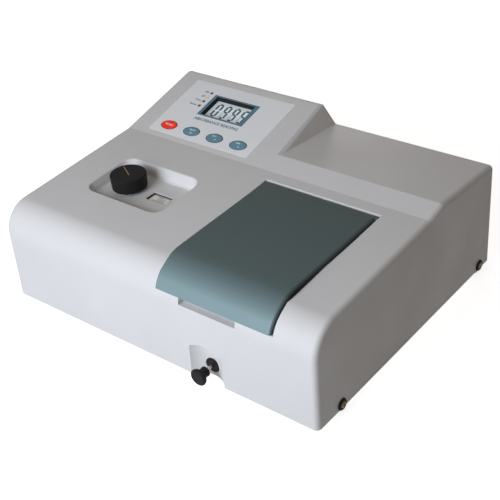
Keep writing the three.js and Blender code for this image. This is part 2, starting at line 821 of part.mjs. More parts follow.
function topCover() {
  const shell = cut(coverBlock(0), coverBlock(cover.wall));
  const skin = coverBlock(cover.wall / 3);
  const tub = common(pocketForm(cover.wall, pocketFloor - cover.wall), skin);
  const nicheBack = common(nicheForm(niche.backing), skin);
  const body = join(shell, tub, nicheBack, throatBlock(), scoopBacking(), ...consolePosts());
  const reach = coverWidth + cover.depth;
  const below = box(-reach, reach, -reach, reach, -reach, 0);
  return cut(
    body,
    below,
    openingTool(),
    lidSeat(),
    scoopTool(),
    nicheTools(),
    pocketForm(0, pocketFloor),
    ...windowSlotTools(),
    ...consoleTools(),
    ...rearWallTools(),
    ...screwTools(fixing.screwRadius + clearance.run),
  );
}

function compartmentLid() {
  const block = lidBlock(0, lid.left, lid.right, lid.edgeRadius);
  const under = lidBlock(lid.thickness, lid.left - overrun, lid.right + overrun, 0);
  const innerLeft = lid.left + lid.thickness;
  const innerRight = lid.right - lid.thickness;
  const inside = lidBlock(lid.thickness, innerLeft, innerRight, 0);
  const plate = cut(block, under);
  const skirts = cut(block, inside, coverBlock(-clearance.slide));
  const barrel = bar('x', lid.left, lid.right, hinge.y, hinge.z, lid.barrelRadius, facets.round);
  const reach = coverWidth;
  const belowNose = box(-reach, reach, -reach, reach, -reach, lid.noseHeight);
  const boreRadius = lid.pinRadius + clearance.run;
  const bore = bar('x', lid.left - overrun, lid.right + overrun, hinge.y, hinge.z, boreRadius, facets.tiny);
  return cut(join(plate, skirts, barrel), belowNose, bore);
}

function hingePin() {
  const from = lid.left - opening.lugWidth;
  const to = lid.right + opening.lugWidth;
  return bar('x', from, to, hinge.y, hinge.z, lid.pinRadius, facets.tiny);
}

// Sample compartment: black box below the throat.
function sampleWell() {
  const { left, right, front, rear } = wellOuter;
  const outer = box(left, right, front, rear, wellBottom, wellTop);
  const inner = box(innerX.left, innerX.right, front + well.wall, opening.rear, wellFloor, wellTop + overrun);
  const light = bar('x', left - overrun, right + overrun, beam.y, beam.z, well.apertureRadius, facets.round);
  const rodHole = bar(
    'y',
    front - overrun,
    front + well.wall + overrun,
    carriage.centreX,
    carriage.axisHeight,
    pullRod.radius + clearance.run,
    facets.small,
  );
  const guideHoles = [-1, 1].map((side) => {
    const x = carriage.centreX + (side * carriage.guideSpread) / 2;
    const radius = carriage.guideRadius + clearance.run;
    return bar('y', front - overrun, rear + overrun, x, carriage.axisHeight, radius, facets.small);
  });
  return cut(outer, inner, light, rodHole, ...guideHoles);
}

function guideRod(side) {
  const x = carriage.centreX + (side * carriage.guideSpread) / 2;
  return bar('y', wellOuter.front, wellOuter.rear, x, carriage.axisHeight, carriage.guideRadius, facets.small);
}

function cellCentres() {
  return Array.from({ length: carriage.cells }, (unused, i) => {
    return carriageFront + carriage.endWall + carriage.pitch * (i + 1 / 2);
  });
}

// Cell rack: a guided base block with square cell pockets and light slots.
function cellCarriage() {
  const x = carriage.centreX;
  const half = { base: carriage.baseWidth / 2, rack: carriage.rackWidth / 2, cell: carriage.cellSize / 2 };
  const rackTop = rackBottom + carriage.rackHeight;
  const base = box(x - half.base, x + half.base, carriageFront, carriageRear, carriageBase, rackBottom);
  const rack = box(x - half.rack, x + half.rack, carriageFront, carriageRear, rackBottom - overrun / 2, rackTop);
  const tools = [];
  cellCentres().forEach((y) => {
    const cellTop = rackTop + overrun;
    tools.push(box(x - half.cell, x + half.cell, y - half.cell, y + half.cell, cellFloorHeight, cellTop));
    const slotHalf = carriage.beamSlotWidth / 2;
    const slotLow = beam.z - carriage.beamSlotHeight / 2;
    const slotHigh = beam.z + carriage.beamSlotHeight / 2;
    const reach = half.rack + overrun;
    tools.push(box(x - reach, x + reach, y - slotHalf, y + slotHalf, slotLow, slotHigh));
  });
  [-1, 1].forEach((side) => {
    const guideX = x + (side * carriage.guideSpread) / 2;
    const radius = carriage.guideRadius + clearance.run;
    const from = carriageFront - overrun;
    tools.push(bar('y', from, carriageRear + overrun, guideX, carriage.axisHeight, radius, facets.small));
  });
  const rodRadius = pullRod.radius + clearance.run;
  const rodEnd = carriageFront + pullRod.inBlock + clearance.seat;
  tools.push(bar('y', carriageFront - overrun, rodEnd, x, carriage.axisHeight, rodRadius, facets.small));
  return cut(join(base, rack), ...tools);
}

function pullRodBar() {
  const from = pullKnob.front + pullKnob.length - pullRod.inKnob;
  const to = carriageFront + pullRod.inBlock;
  return bar('y', from, to, carriage.centreX, carriage.axisHeight, pullRod.radius, facets.small);
}

// Flared pull knob about its own Z axis, its front face at zero and its neck upwards.
const pullKnobShares = [
  [0, 0],
  [0.86, 0.03],
  [0.97, 0.08],
  [1, 0.16],
  [0.94, 0.28],
  [0.72, 0.42],
  [0.6, 0.58],
  [0.56, 0.72],
  [0.6, 0.93],
  [0.53, 1],
  [0, 1],
];

function pullKnobForm() {
  const profile = pullKnobShares.map(([r, h]) => [r * pullKnob.discRadius, h * pullKnob.length]);
  const body = turned(profile, facets.round);
  const boreFloor = pullKnob.length - pullRod.inKnob - clearance.seat;
  const bore = stud(0, 0, boreFloor, pullKnob.length + overrun, pullRod.radius + clearance.run, facets.small);
  return cut(body, bore);
}

// Escutcheon with its guide barrel about Z; the flange's front face is at zero.
function rodEscutcheon() {
  const { radius, thickness, barrelRadius, barrelLength } = escutcheon;
  const bore = pullRod.radius + clearance.run;
  const profile = [
    [bore, 0],
    [radius - thickness / 2, 0],
    [radius, thickness / 2],
    [radius, thickness],
    [barrelRadius, thickness],
    [barrelRadius, thickness + barrelLength],
    [bore, thickness + barrelLength],
    [bore, 0],
  ];
  return turned(profile, facets.small);
}

// Wavelength knob about Z with its index groove; zero is the underside.
function wavelengthKnob() {
  const { radius, height, edge } = knob;
  const skirt = radius - edge / 2;
  const profile = [
    [0, 0],
    [skirt - edge, 0],
    [skirt, edge],
    [radius, height - edge],
    [radius - edge / 4, height - edge / 4],
    [radius - edge, height],
    [0, height],
  ];
  const body = turned(profile, facets.large);
  const boreTop = drive.shaftInKnob + clearance.seat;
  const bore = stud(0, 0, -overrun, boreTop, drive.shaftRadius + clearance.run, facets.small);
  const grooveFloor = height - knob.lineDepth;
  const start = radius - edge - knob.lineLength - knob.lineWidth;
  const half = knob.lineWidth / 2;
  const groove = box(start, start + knob.lineLength, -half, half, grooveFloor, height + overrun);
  return cut(body, bore, groove);
}

const knobBottom = deckHeight(drive.axisY) + knob.rise - knob.height;

function knobShaft() {
  const from = monoTop - clearance.seat;
  return stud(0, 0, from, knobBottom + drive.shaftInKnob, drive.shaftRadius, facets.small);
}

function shaftBush() {
  const bore = drive.shaftRadius + clearance.run;
  const low = pocketFloor - cover.wall + clearance.seat;
  const seat = pocketFloor + clearance.seat;
  const top = seat + drive.bushFlangeHeight;
  const profile = [
    [bore, low],
    [drive.bushRadius, low],
    [drive.bushRadius, seat],
    [drive.bushFlange, seat],
    [drive.bushFlange, top],
    [bore, top],
    [bore, low],
  ];
  return turned(profile, facets.round);
}

function wavelengthDial() {
  const low = dialTop - drive.dialThickness;
  const disc = stud(0, 0, low, dialTop, drive.dialRadius, facets.large);
  const hub = stud(0, 0, hubBottom, dialTop, drive.hubRadius, facets.round);
  const boreRadius = drive.shaftRadius + clearance.run;
  const bore = stud(0, 0, hubBottom - overrun, dialTop + overrun, boreRadius, facets.small);
  return cut(join(disc, hub), bore);
}

function dialWindow() {
  const left = axisX + windowSlot.fromAxis + clearance.seat;
  const right = left + windowSlot.length - 2 * clearance.seat;
  const half = windowSlot.width / 2 - clearance.seat;
  const top = pocketFloor - windowSlot.sink;
  return box(left, right, drive.axisY - half, drive.axisY + half, top - windowSlot.plate, top);
}

// Snail cam: the envelope of the arm's face, so that the arm tilts evenly while the knob turns.
function wavelengthCam() {
  const degree = Math.PI / 180;
  const span = (drive.turn + drive.spiralMargin) * degree;
  const tiltRatio = drive.camRise / drive.armLength;
  const offset = grating.y - drive.axisY;
  const outline = [];
  for (let step = 0; step <= facets.large; step += 1) {
    const turn = span - (2 * span * step) / facets.large;
    const tilt = -tiltRatio * turn;
    const facing = Math.PI / 2 + tilt - turn;
    const faceDistance = offset * Math.cos(tilt) - drive.armLength * Math.sin(tilt) - drive.armWidth / 2;
    const reach = faceDistance - drive.followGap;
    const growth = tiltRatio * (drive.armLength * Math.cos(tilt) + offset * Math.sin(tilt));
    const aside = -growth / (1 + tiltRatio);
    const point = new THREE.Vector2(reach, aside).rotateAround(new THREE.Vector2(), facing);
    outline.push(point);
  }
  const top = camBottom + drive.camThickness;
  const disc = loft([{ at: camBottom, outline }, { at: top, outline }], alongZ);
  const boreRadius = drive.shaftRadius + clearance.run;
  return cut(disc, stud(0, 0, camBottom - overrun, top + overrun, boreRadius, facets.small));
}

// Follower arm about the grating spindle, reaching left to the middle of the cam.
function followerArm() {
  const half = drive.armWidth / 2;
  const top = camBottom + drive.camThickness;
  const arm = box(-drive.armLength, 0, -half, half, camBottom, top);
  const hub = stud(0, 0, camBottom, top, drive.hubRadius, facets.round);
  const bore = stud(0, 0, camBottom - overrun, top + overrun, optics.spindleRadius + clearance.run, facets.small);
  return cut(join(arm, hub), bore);
}

function gratingTable() {
  const floorTop = monoBottom + mono.wall;
  const low = floorTop + clearance.seat;
  const tableLow = floorTop + optics.tableHeight - optics.tableThickness;
  const tableTop = floorTop + optics.tableHeight;
  const spindle = stud(0, 0, low, camBottom + drive.camThickness, optics.spindleRadius, facets.small);
  return join(spindle, stud(0, 0, tableLow, tableTop, optics.tableRadius, facets.round));
}

function diffractionGrating() {
  const low = monoBottom + mono.wall + optics.tableHeight + clearance.seat;
  const half = optics.gratingWidth / 2;
  const front = optics.spindleRadius + clearance.seat;
  return box(-half, half, front, front + optics.gratingThickness, low, low + optics.gratingHeight);
}

function monochromatorHousing() {
  const { right, front, rear, wall, portRadius } = mono;
  const left = monoLeft;
  const floorTop = monoBottom + wall;
  const outer = box(left, right, front, rear, monoBottom, monoTop);
  const inner = box(left + wall, right - wall, front + wall, rear - wall, floorTop, monoTop + overrun);
  const exit = bar('x', right - wall - overrun, right + overrun, beam.y, beam.z, portRadius, facets.small);
  const entry = bar('y', rear - wall - overrun, rear + overrun, mono.inputX, beam.z, portRadius, facets.small);
  return cut(outer, inner, exit, entry);
}

function monochromatorLid() {
  const low = monoTop + clearance.seat;
  const high = low + mono.lidThickness;
  const plate = box(monoLeft, mono.right, mono.front, mono.rear, low, high);
  const shaftHole = stud(
    axisX,
    drive.axisY,
    low - overrun,
    high + overrun,
    drive.shaftRadius + clearance.run,
    facets.small,
  );
  const spindleRadius = optics.spindleRadius + clearance.run;
  const spindleHole = stud(grating.x, grating.y, low - overrun, high + overrun, spindleRadius, facets.small);
  return cut(plate, shaftHole, spindleHole);
}

function collimatingMirror() {
  const from = monoLeft + mono.wall + clearance.seat;
  const to = from + optics.mirrorThickness;
  const y = (beam.y + grating.y) / 2;
  return bar('x', from, to, y, beam.z, optics.mirrorRadius, facets.round);
}

// Folding mirror on its post, about Z, turned by half a right angle where it is placed.
function foldingMirror() {
  const floorTop = monoBottom + mono.wall;
  const half = optics.foldWidth / 2;
  const low = beam.z - optics.foldHeight / 2;
  const face = box(-half, half, 0, optics.foldThickness, low, low + optics.foldHeight);
  const postHalf = optics.postWidth / 2;
  const post = box(-postHalf, postHalf, optics.foldThickness / 2, optics.postWidth, floorTop + clearance.seat, beam.z);
  return join(face, post);
}

// Slit plate in its own X-Z plane, its back at zero.
function slitPlate() {
  const half = optics.slitPlateWidth / 2;
  const tall = optics.slitPlateHeight / 2;
  const plate = box(-half, half, 0, optics.slitPlateThickness, -tall, tall);
  const slitHalf = optics.slitWidth / 2;
  const slitTall = optics.slitHeight / 2;
  return cut(plate, box(-slitHalf, slitHalf, -overrun, overrun, -slitTall, slitTall));
}

function condenserLens() {
  const { lensRadius, lensEdge, lensBulge } = optics;
  const profile = [[0, -lensEdge / 2 - lensBulge]];
  const lastShare = 1;
  for (let step = 1; step <= cornerSteps.edge; step += 1) {
    const share = (lastShare * step) / cornerSteps.edge;
    profile.push([lensRadius * share, -lensEdge / 2 - lensBulge * (1 - share ** 2)]);
  }
  for (let step = cornerSteps.edge; step >= 0; step -= 1) {
    const share = (lastShare * step) / cornerSteps.edge;
    profile.push([lensRadius * share, lensEdge / 2 + lensBulge * (1 - share ** 2)]);
  }
  return turned(profile, facets.small);
}

const lampFloorTop = chassisTop + clearance.seat + lamp.sheet;
const lensPlace = lamp.front - lamp.tubeLength / 2;

function lampHousing() {
  const half = lamp.width / 2;
  const x = mono.inputX;
  const low = chassisTop + clearance.seat;
  const rear = lamp.front + lamp.depth;
  const outer = box(x - half, x + half, lamp.front, rear, low, low + lamp.height);
  const innerHalf = half - lamp.sheet;
  const inner = box(
    x - innerHalf,
    x + innerHalf,
    lamp.front + lamp.sheet,
    rear - lamp.sheet,
    lampFloorTop,
    low + lamp.height + overrun,
  );
  const boreRadius = optics.lensRadius + clearance.run;
  const tubeFront = lamp.front - lamp.tubeLength;
  const tube = bar('y', tubeFront, lamp.front + lamp.sheet, x, beam.z, boreRadius + lamp.tubeWall, facets.round);
  const bore = bar('y', tubeFront - overrun, lamp.front + lamp.sheet + overrun, x, beam.z, boreRadius, facets.round);
  const slots = [];
  for (let i = 0; i < lamp.vents; i += 1) {
    const y = lamp.front + lamp.ventPitch * (i + 1);
    const slotLow = low + lamp.height / 2;
    slots.push(box(x - half - overrun, x + half + overrun, y, y + lamp.ventWidth, slotLow, slotLow + lamp.ventHeight));
  }
  return cut(join(outer, tube), inner, bore, ...slots);
}

// Halogen lamp with its ceramic base, about its own Z axis.
function halogenLamp() {
  const bulbLow = beam.z - lamp.bulbHeight / 2;
  const bulbTop = beam.z + lamp.bulbHeight / 2;
  const { bulbRadius } = lamp;
  const profile = [
    [0, bulbLow - bulbRadius],
    [bulbRadius / 2, bulbLow - bulbRadius],
    [bulbRadius, bulbLow],
    [bulbRadius, bulbTop - bulbRadius],
    [bulbRadius * Math.SQRT1_2, bulbTop - bulbRadius * (1 - Math.SQRT1_2)],
    [0, bulbTop],
  ];
  const halfWidth = lamp.baseWidth / 2;
  const halfDepth = lamp.baseDepth / 2;
  const base = box(-halfWidth, halfWidth, -halfDepth, halfDepth, lampFloorTop + clearance.seat, bulbLow);
  return join(turned(profile, facets.small), base);
}

function detectorHousing() {
  const left = wellOuter.right + detector.gap;
  const right = left + detector.length;
  const low = chassisTop + clearance.seat;
  const high = low + detector.height;
  const front = beam.y - detector.width / 2;
  const rear = beam.y + detector.width / 2;
  const { wall } = detector;
  const outer = box(left, right, front, rear, low, high);
  const inner = box(left + wall, right - wall, front + wall, rear - wall, low + wall, high - wall);
  const eye = bar('x', left - overrun, left + wall + overrun, beam.y, beam.z, well.apertureRadius, facets.small);
  return cut(outer, inner, eye);
}

// Console pieces, in the console's own coordinates.
function membranePanel() {
  const low = film.proud - film.thickness;
  const sheet = box(filmLeft, filmRight, film.bottom, film.top, low, film.proud);
  const reach = overrun;
  const tools = [box(displayLeft, displayRight, display.bottom, display.top, -reach, reach)];
  keyPlaces.forEach((x) => {
    const hole = oval(keypad.length + 2 * keypad.rim, keypad.width + 2 * keypad.rim, -reach, reach);
    tools.push(hole.translate(x, keypad.rise, 0));
  });
  indicators.rises.forEach((rise) => {
    tools.push(stud(indicatorX, rise, -reach, reach, indicators.radius + clearance.run, facets.tiny));
  });
  return cut(sheet, ...tools);
}

function displayModule() {
  const { bottom, top, border, sink, boardDrop } = display;
  const low = -boardDrop + clearance.seat;
  return box(displayLeft - border, displayRight + border, bottom - border, top + border, low, -sink);
}

function displayBoard() {
  const { margin, thickness } = board;
  const low = -display.boardDrop - thickness;
  return box(
    filmLeft + margin,
    filmRight - margin,
    film.bottom + margin,
    film.top - margin,
    low,
    -display.boardDrop,
  );
}

// One oval key with its retaining flange and stem, about its own middle.
function key() {
  const flangeTop = -cover.wall - clearance.seat;
  const stemLow = -display.boardDrop + clearance.seat + keypad.travel;
  const grow = 2 * (keypad.rim + keypad.flange);
  const cap = oval(keypad.length, keypad.width, flangeTop - keypad.flangeThickness, keypad.proud);
  const flangeLow = flangeTop - keypad.flangeThickness;
  const flange = oval(keypad.length + grow, keypad.width + grow, flangeLow, flangeTop);
  return join(cap, flange, stud(0, 0, stemLow, flangeTop, keypad.stemRadius, facets.tiny));
}

function statusLed() {
  const { radius, flange } = indicators;
  const low = -display.boardDrop + clearance.seat;
  const profile = [
    [0, low],
    [radius + flange, low],
    [radius + flange, low + radius],
    [radius, low + radius],
    [radius, film.proud - radius / 2],
    [radius * Math.SQRT1_2, film.proud],
    [0, film.proud + radius / 4],
  ];
  return turned(profile, facets.tiny);
}

// Steel tray with side flanges, board posts and air slots.
const mainBoardLow = chassisTop + mainBoard.lift;

function mainBoardPosts() {
  const inset = mainBoard.postRadius * 2;
  const { width, front, depth } = mainBoard;
  const left = mainBoardLeft;
  return [
    [left + inset, front + inset],
    [left + width - inset, front + inset],
    [left + inset, front + depth - inset],
    [left + width - inset, front + depth - inset],
  ];
}

function baseChassis() {
  const half = coverHalf - cover.wall - chassis.gap;
  const rear = panelFront - rearPanel.sheet - clearance.seat;
  const front = cover.wall + 2 * chassis.gap;
  const { sheet, underside, flangeHeight, notch } = chassis;
  const corner = cover.sideRadius;
  const flangeRear = rear - corner;
  const pieces = [box(-half, half, front + corner, flangeRear, underside, chassisTop)];
  pieces.push(box(corner - half, half - corner, front, rear, underside, chassisTop));
  pieces.push(box(half - sheet, half, notch, flangeRear, underside, flangeHeight));
  pieces.push(box(-half, sheet - half, notch, flangeRear, underside, flangeHeight));
  mainBoardPosts().forEach(([x, y]) => {
    const top = mainBoardLow - clearance.seat;
    pieces.push(stud(x, y, underside, top, mainBoard.postRadius, facets.tiny));
  });
  const notchHalf = niche.chord / 2 + niche.backing + 2 * chassis.gap;
  const x = carriage.centreX;
  const tools = [box(x - notchHalf, x + notchHalf, 0, notch, underside - overrun, chassisTop + overrun)];
  const slotRear = rear - chassis.ventWidth * 2;
  const slotFront = slotRear - chassis.ventLength;
  for (let i = 0; i < chassis.ventCount; i += 1) {
    const slotLeft = mono.inputX + chassis.ventWidth * (2 * i - chassis.ventCount);
    const slotRight = slotLeft + chassis.ventWidth;
    tools.push(box(slotLeft, slotRight, slotFront, slotRear, underside - overrun, chassisTop + overrun));
  }
  return cut(join(...pieces), ...tools, ...screwTools(fixing.screwRadius + clearance.run));
}

function rearPanelSheet() {
  const back = panelFront;
  const front = back - rearPanel.sheet;
  const half = coverHalf - rearPanel.fromSide;
  const sheet = box(-half, half, front, back, chassis.underside, rearPanel.height);
  const slack = clearance.seat;
  const inletHole = box(
    inlet.x - inlet.width / 2 - slack,
    inlet.x + inlet.width / 2 + slack,
    front - overrun,
    back + overrun,
    inlet.height - inlet.tall / 2 - slack,
    inlet.height + inlet.tall / 2 + slack,
  );
  const body = rockerBody();
  const rockerHole = box(
    rocker.x - body.halfWidth - slack,
    rocker.x + body.halfWidth + slack,
    front - overrun,
    back + overrun,
    inlet.height - body.halfTall - slack,
    inlet.height + body.halfTall + slack,
  );
  return cut(sheet, inletHole, rockerHole);
}

function rubberFoot() {
  const { topRadius, bottomRadius, height } = foot;
  const edge = topRadius - bottomRadius;
  const profile = [
    [0, 0],
    [bottomRadius - edge, 0],
    [bottomRadius, edge],
    [topRadius, height - edge],
    [topRadius, height],
    [0, height],
  ];
  return turned(profile, facets.round);
}

// Cup washer about Z, its flat face at zero and its cup outwards.
function cupWasher() {
  const bore = fixing.screwRadius + clearance.run;
  const cupRadius = fixing.headRadius + clearance.run;
  const height = fixing.washerHeight;
  const profile = [
    [bore, 0],
    [fixing.washerRadius, 0],
    [fixing.washerRadius, height / 3],
    [fixing.washerRadius - height / 2, height],
    [cupRadius, height],
    [cupRadius, height / 3],
    [bore, height / 3],
    [bore, 0],
  ];
  return turned(profile, facets.small);
}

// Cross head screw about Z, with its head's underside at zero and its thread inwards.
function crossScrew() {
  const { screwRadius, headRadius, headHeight, crossWidth, crossLength, length } = fixing;
  const profile = [
    [0, -length],
    [screwRadius, screwRadius / 2 - length],
    [screwRadius, 0],
    [headRadius, 0],
    [headRadius, headHeight / 3],
    [headRadius * Math.SQRT1_2, headHeight * (1 - 1 / 6)],
    [0, headHeight],
  ];
  const depth = headHeight / 3;
  const half = { long: crossLength / 2, wide: crossWidth / 2 };
  const first = box(-half.long, half.long, -half.wide, half.wide, depth, headHeight + overrun);
  const second = box(-half.wide, half.wide, -half.long, half.long, depth, headHeight + overrun);
  return cut(turned(profile, facets.small), first, second);
}

function mainBoardForm() {
  const { width, front, depth } = mainBoard;
  const left = mainBoardLeft;
  const top = mainBoardLow + board.thickness;
  const sheet = box(left, left + width, front, front + depth, mainBoardLow, top);
  const chipShares = [
    [0.1, 0.3, 0.15, 0.3, 3],
    [0.4, 0.62, 0.2, 0.42, 3],
    [0.7, 0.86, 0.12, 0.3, 9],
    [0.14, 0.26, 0.5, 0.66, 12],
    [0.4, 0.7, 0.62, 0.72, 8],
    [0.76, 0.9, 0.5, 0.82, 14],
  ];
  const chips = chipShares.map(([x0, x1, y0, y1, thicknesses]) => {
    const low = top - board.thickness / 2;
    const high = top + thicknesses * board.thickness;
    return box(left + x0 * width, left + x1 * width, front + y0 * depth, front + y1 * depth, low, high);
  });
  return join(sheet, ...chips);
}

function transformerForm() {
  const { left, width, front, depth, height, coilBulge, coilShare } = transformer;
  const low = chassisTop + clearance.seat;
  const core = box(left, left + width, front, front + depth, low, low + height);
  const coilHalf = (width * coilShare) / 2;
  const middle = left + width / 2;
  const coilLow = low + (height * (1 - coilShare)) / 2;
  const coilHigh = coilLow + height * coilShare;
  const coil = box(middle - coilHalf, middle + coilHalf, front - coilBulge, front + depth + coilBulge, coilLow, coilHigh);
  return join(core, coil);
}

// Mains inlet with its socket, contact blades and fuse drawer, about the panel's outer face.
function powerInlet() {
  const { x, height, width, tall, depth, flange, plate, wall, pin } = inlet;
  const back = panelFront;
  const halfWide = width / 2;
  const halfTall = tall / 2;
  const seat = back + clearance.seat;
  const outside = seat + plate;
  const body = box(x - halfWide, x + halfWide, back - depth, outside, height - halfTall, height + halfTall);
  const face = box(
    x - halfWide - flange,
    x + halfWide + flange,
    seat,
    outside,
    height - halfTall - flange,
    height + halfTall + flange,
  );
  const hollow = box(
    x - halfWide + wall,
    x + halfWide - wall,
    back - depth + wall,
    outside + overrun,
    height - halfTall + wall,
    height + halfTall - wall,
  );
  const bladeEnd = back - wall;
  const blades = [-1, 0, 1].map((place) => {
    const bladeX = x + (place * width) / 4;
    const bladeZ = height + (place === 0 ? pin : -pin);
    return box(bladeX - pin / 2, bladeX + pin / 2, back - depth + wall / 2, bladeEnd, bladeZ - pin, bladeZ + pin);
  });
  return join(cut(join(body, face), hollow), ...blades);
}

function rockerBody() {
  const holeWide = rocker.width / 2 + clearance.slide;
  const holeTall = rocker.tall / 2 + clearance.slide;
  return { holeWide, holeTall, halfWidth: holeWide + rocker.pinRadius, halfTall: holeTall + rocker.pinRadius };
}

function switchBezel() {
  const { x, bodyDepth, bezel, bezelPlate, pinRadius } = rocker;
  const { holeWide, holeTall, halfWidth, halfTall } = rockerBody();
  const z = inlet.height;
  const back = panelFront;
  const seat = back + clearance.seat;
  const outside = seat + bezelPlate;
  const body = box(x - halfWidth, x + halfWidth, back - bodyDepth, outside, z - halfTall, z + halfTall);
  const plateWide = halfWidth + bezel;
  const plateTall = halfTall + bezel;
  const plate = box(x - plateWide, x + plateWide, seat, outside, z - plateTall, z + plateTall);
  const floor = back - bodyDepth + pinRadius;
  const hole = box(x - holeWide, x + holeWide, floor, outside + overrun, z - holeTall, z + holeTall);
  const pinHole = bar('x', x - halfWidth, x + halfWidth, rockerPivotY, z, pinRadius + clearance.run, facets.tiny);
  return cut(join(body, plate), hole, pinHole);
}

const rockerPivotY = panelFront - rocker.tall / 8;

// Rocker about its pivot along X; its outer faces form a shallow valley.
function switchRocker() {
  const radius = rocker.tall / 2;
  const edgeAngle = (Math.PI / 180) * (90 - 3 * rocker.tilt);
  const valley = radius * Math.cos(edgeAngle) - radius / 6;
  const outline = [new THREE.Vector2(valley, 0)];
  for (let step = 0; step <= cornerSteps.edge; step += 1) {
    const angle = edgeAngle + ((Math.PI - 2 * edgeAngle) * step) / cornerSteps.edge;
    outline.push(new THREE.Vector2(radius * Math.cos(angle), radius * Math.sin(angle)));
  }
  for (let step = cornerSteps.edge; step >= 0; step -= 1) {
    const angle = edgeAngle + ((Math.PI - 2 * edgeAngle) * step) / cornerSteps.edge;
    outline.push(new THREE.Vector2(radius * Math.cos(angle), -radius * Math.sin(angle)));
  }
  const half = rocker.width / 2;
  const body = loft([{ at: -half, outline }, { at: half, outline }], alongX);
  const pinHalf = half + rocker.pinRadius;
  const pin = bar('x', -pinHalf, pinHalf, 0, 0, rocker.pinRadius, facets.tiny);
  return join(body, pin);
}

// Materials, one for each mesh so that every piece keeps its own.
function finish(colour, roughness, metalness, opacity) {
  const values = { color: new THREE.Color(colour), roughness, metalness };
  return () => new THREE.MeshStandardMaterial(opacity ? { ...values, transparent: true, opacity } : values);
}

const finishes = {
  shell: finish('#b9bab9', 0.55, 0),
  smoky: finish('#4a5a5b', 0.15, 0, 0.9),
  black: finish('#232323', 0.45, 0),
  rubber: finish('#161616', 0.85, 0),
  zinc: finish('#a8a59b', 0.35, 1),
  brass: finish('#a58a52', 0.35, 1),
  steel: finish('#b9bbbd', 0.3, 1),
  film: finish('#bebec4', 0.5, 0),
  teal: finish('#46727f', 0.45, 0),
  red: finish('#d23a22', 0.45, 0),
  glass: finish('#a5b2af', 0.15, 0),
  clear: finish('#e6e8e6', 0.05, 0, 0.4),
  board: finish('#2f6a3e', 0.6, 0),
  dial: finish('#d8cdb6', 0.5, 0.3),
  matt: finish('#1d1e1f', 0.8, 0),
  cast: finish('#8d9093', 0.5, 0.9),
  lampRed: finish('#5e2a24', 0.3, 0),
  lampLit: finish('#c6cf3a', 0.3, 0),
  copper: finish('#8c4a2a', 0.5, 0.4),
};

const object = new THREE.Group();
const body = new THREE.Group();
const frontReach = pullKnob.front;
const footTop = chassis.underside - clearance.seat;
body.position.set(0, -(frontReach + cover.depth) / 2, foot.height - footTop);
object.add(body);

function addPiece(name, geometry, dress, parent = body) {
  const mesh = new THREE.Mesh(geometry, dress());
  mesh.name = name;
  parent.add(mesh);
  return mesh;
}

function addCover() {
  addPiece('top_cover', topCover(), finishes.shell);
  addPiece('compartment_lid', compartmentLid(), finishes.smoky);
  addPiece('hinge_pin', hingePin(), finishes.steel);
}

function addBase() {
  addPiece('base_chassis', baseChassis(), finishes.zinc);
  addPiece('rear_panel', rearPanelSheet(), finishes.zinc);
  const x = coverHalf - foot.insetX;
  const rearY = cover.depth - foot.insetRear;
  const places = {
    foot_front_left: [-x, foot.insetFront],
    foot_front_right: [x, foot.insetFront],
    foot_rear_left: [-x, rearY],
    foot_rear_right: [x, rearY],
  };
  Object.entries(places).forEach(([name, [footX, footY]]) => {
    addPiece(name, rubberFoot(), finishes.rubber).position.set(footX, footY, footTop - foot.height);
  });
}

function addSideScrews() {
  const half = coverHalf;
  const washerFace = half + clearance.seat;
  const headFace = washerFace + fixing.washerHeight / 3 + clearance.seat;
  const places = { front: fixing.frontY, rear: fixing.rearY };
  Object.entries(places).forEach(([end, y]) => {
    [['left', -1], ['right', 1]].forEach(([side, sign]) => {
      const washer = addPiece(`cup_washer_${end}_${side}`, cupWasher(), finishes.black);
      washer.position.set(sign * washerFace, y, fixing.height);
      washer.rotation.y = (sign * Math.PI) / 2;
      const screw = addPiece(`cover_screw_${end}_${side}`, crossScrew(), finishes.brass);
      screw.position.set(sign * headFace, y, fixing.height);
      screw.rotation.y = (sign * Math.PI) / 2;
    });
  });
}

function addCompartment() {
  addPiece('sample_well', sampleWell(), finishes.matt);
  addPiece('guide_rod_left', guideRod(-1), finishes.steel);
  addPiece('guide_rod_right', guideRod(1), finishes.steel);
  addPiece('cell_carriage', cellCarriage(), finishes.black);
  addPiece('pull_rod', pullRodBar(), finishes.steel);
  const pull = addPiece('pull_knob', pullKnobForm(), finishes.black);
  pull.position.set(carriage.centreX, pullKnob.front, carriage.axisHeight);
  pull.rotation.x = -Math.PI / 2;
  const ring = addPiece('rod_escutcheon', rodEscutcheon(), finishes.black);
  const ringFront = niche.depth - clearance.seat - escutcheon.thickness;
  ring.position.set(carriage.centreX, ringFront, carriage.axisHeight);
  ring.rotation.x = -Math.PI / 2;
}

// Angle of the knob's index line seen from above, from +X towards +Y.
const indexAngle = (Math.PI / 180) * 150;

function addDrive() {
  const axis = new THREE.Group();
  axis.position.set(axisX, drive.axisY, 0);
  body.add(axis);
  const knobMesh = addPiece('wavelength_knob', wavelengthKnob(), finishes.black, axis);
  knobMesh.position.z = knobBottom;
  knobMesh.rotation.z = indexAngle;
  addPiece('knob_shaft', knobShaft(), finishes.steel, axis);
  addPiece('shaft_bush', shaftBush(), finishes.brass, axis);
  addPiece('wavelength_dial', wavelengthDial(), finishes.dial, axis);
  addPiece('wavelength_cam', wavelengthCam(), finishes.brass, axis);
  addPiece('dial_window', dialWindow(), finishes.clear);
  const spindle = new THREE.Group();
  spindle.position.set(grating.x, grating.y, 0);
  body.add(spindle);
  addPiece('follower_arm', followerArm(), finishes.steel, spindle);
  addPiece('grating_table', gratingTable(), finishes.cast, spindle);
  addPiece('diffraction_grating', diffractionGrating(), finishes.glass, spindle);
}

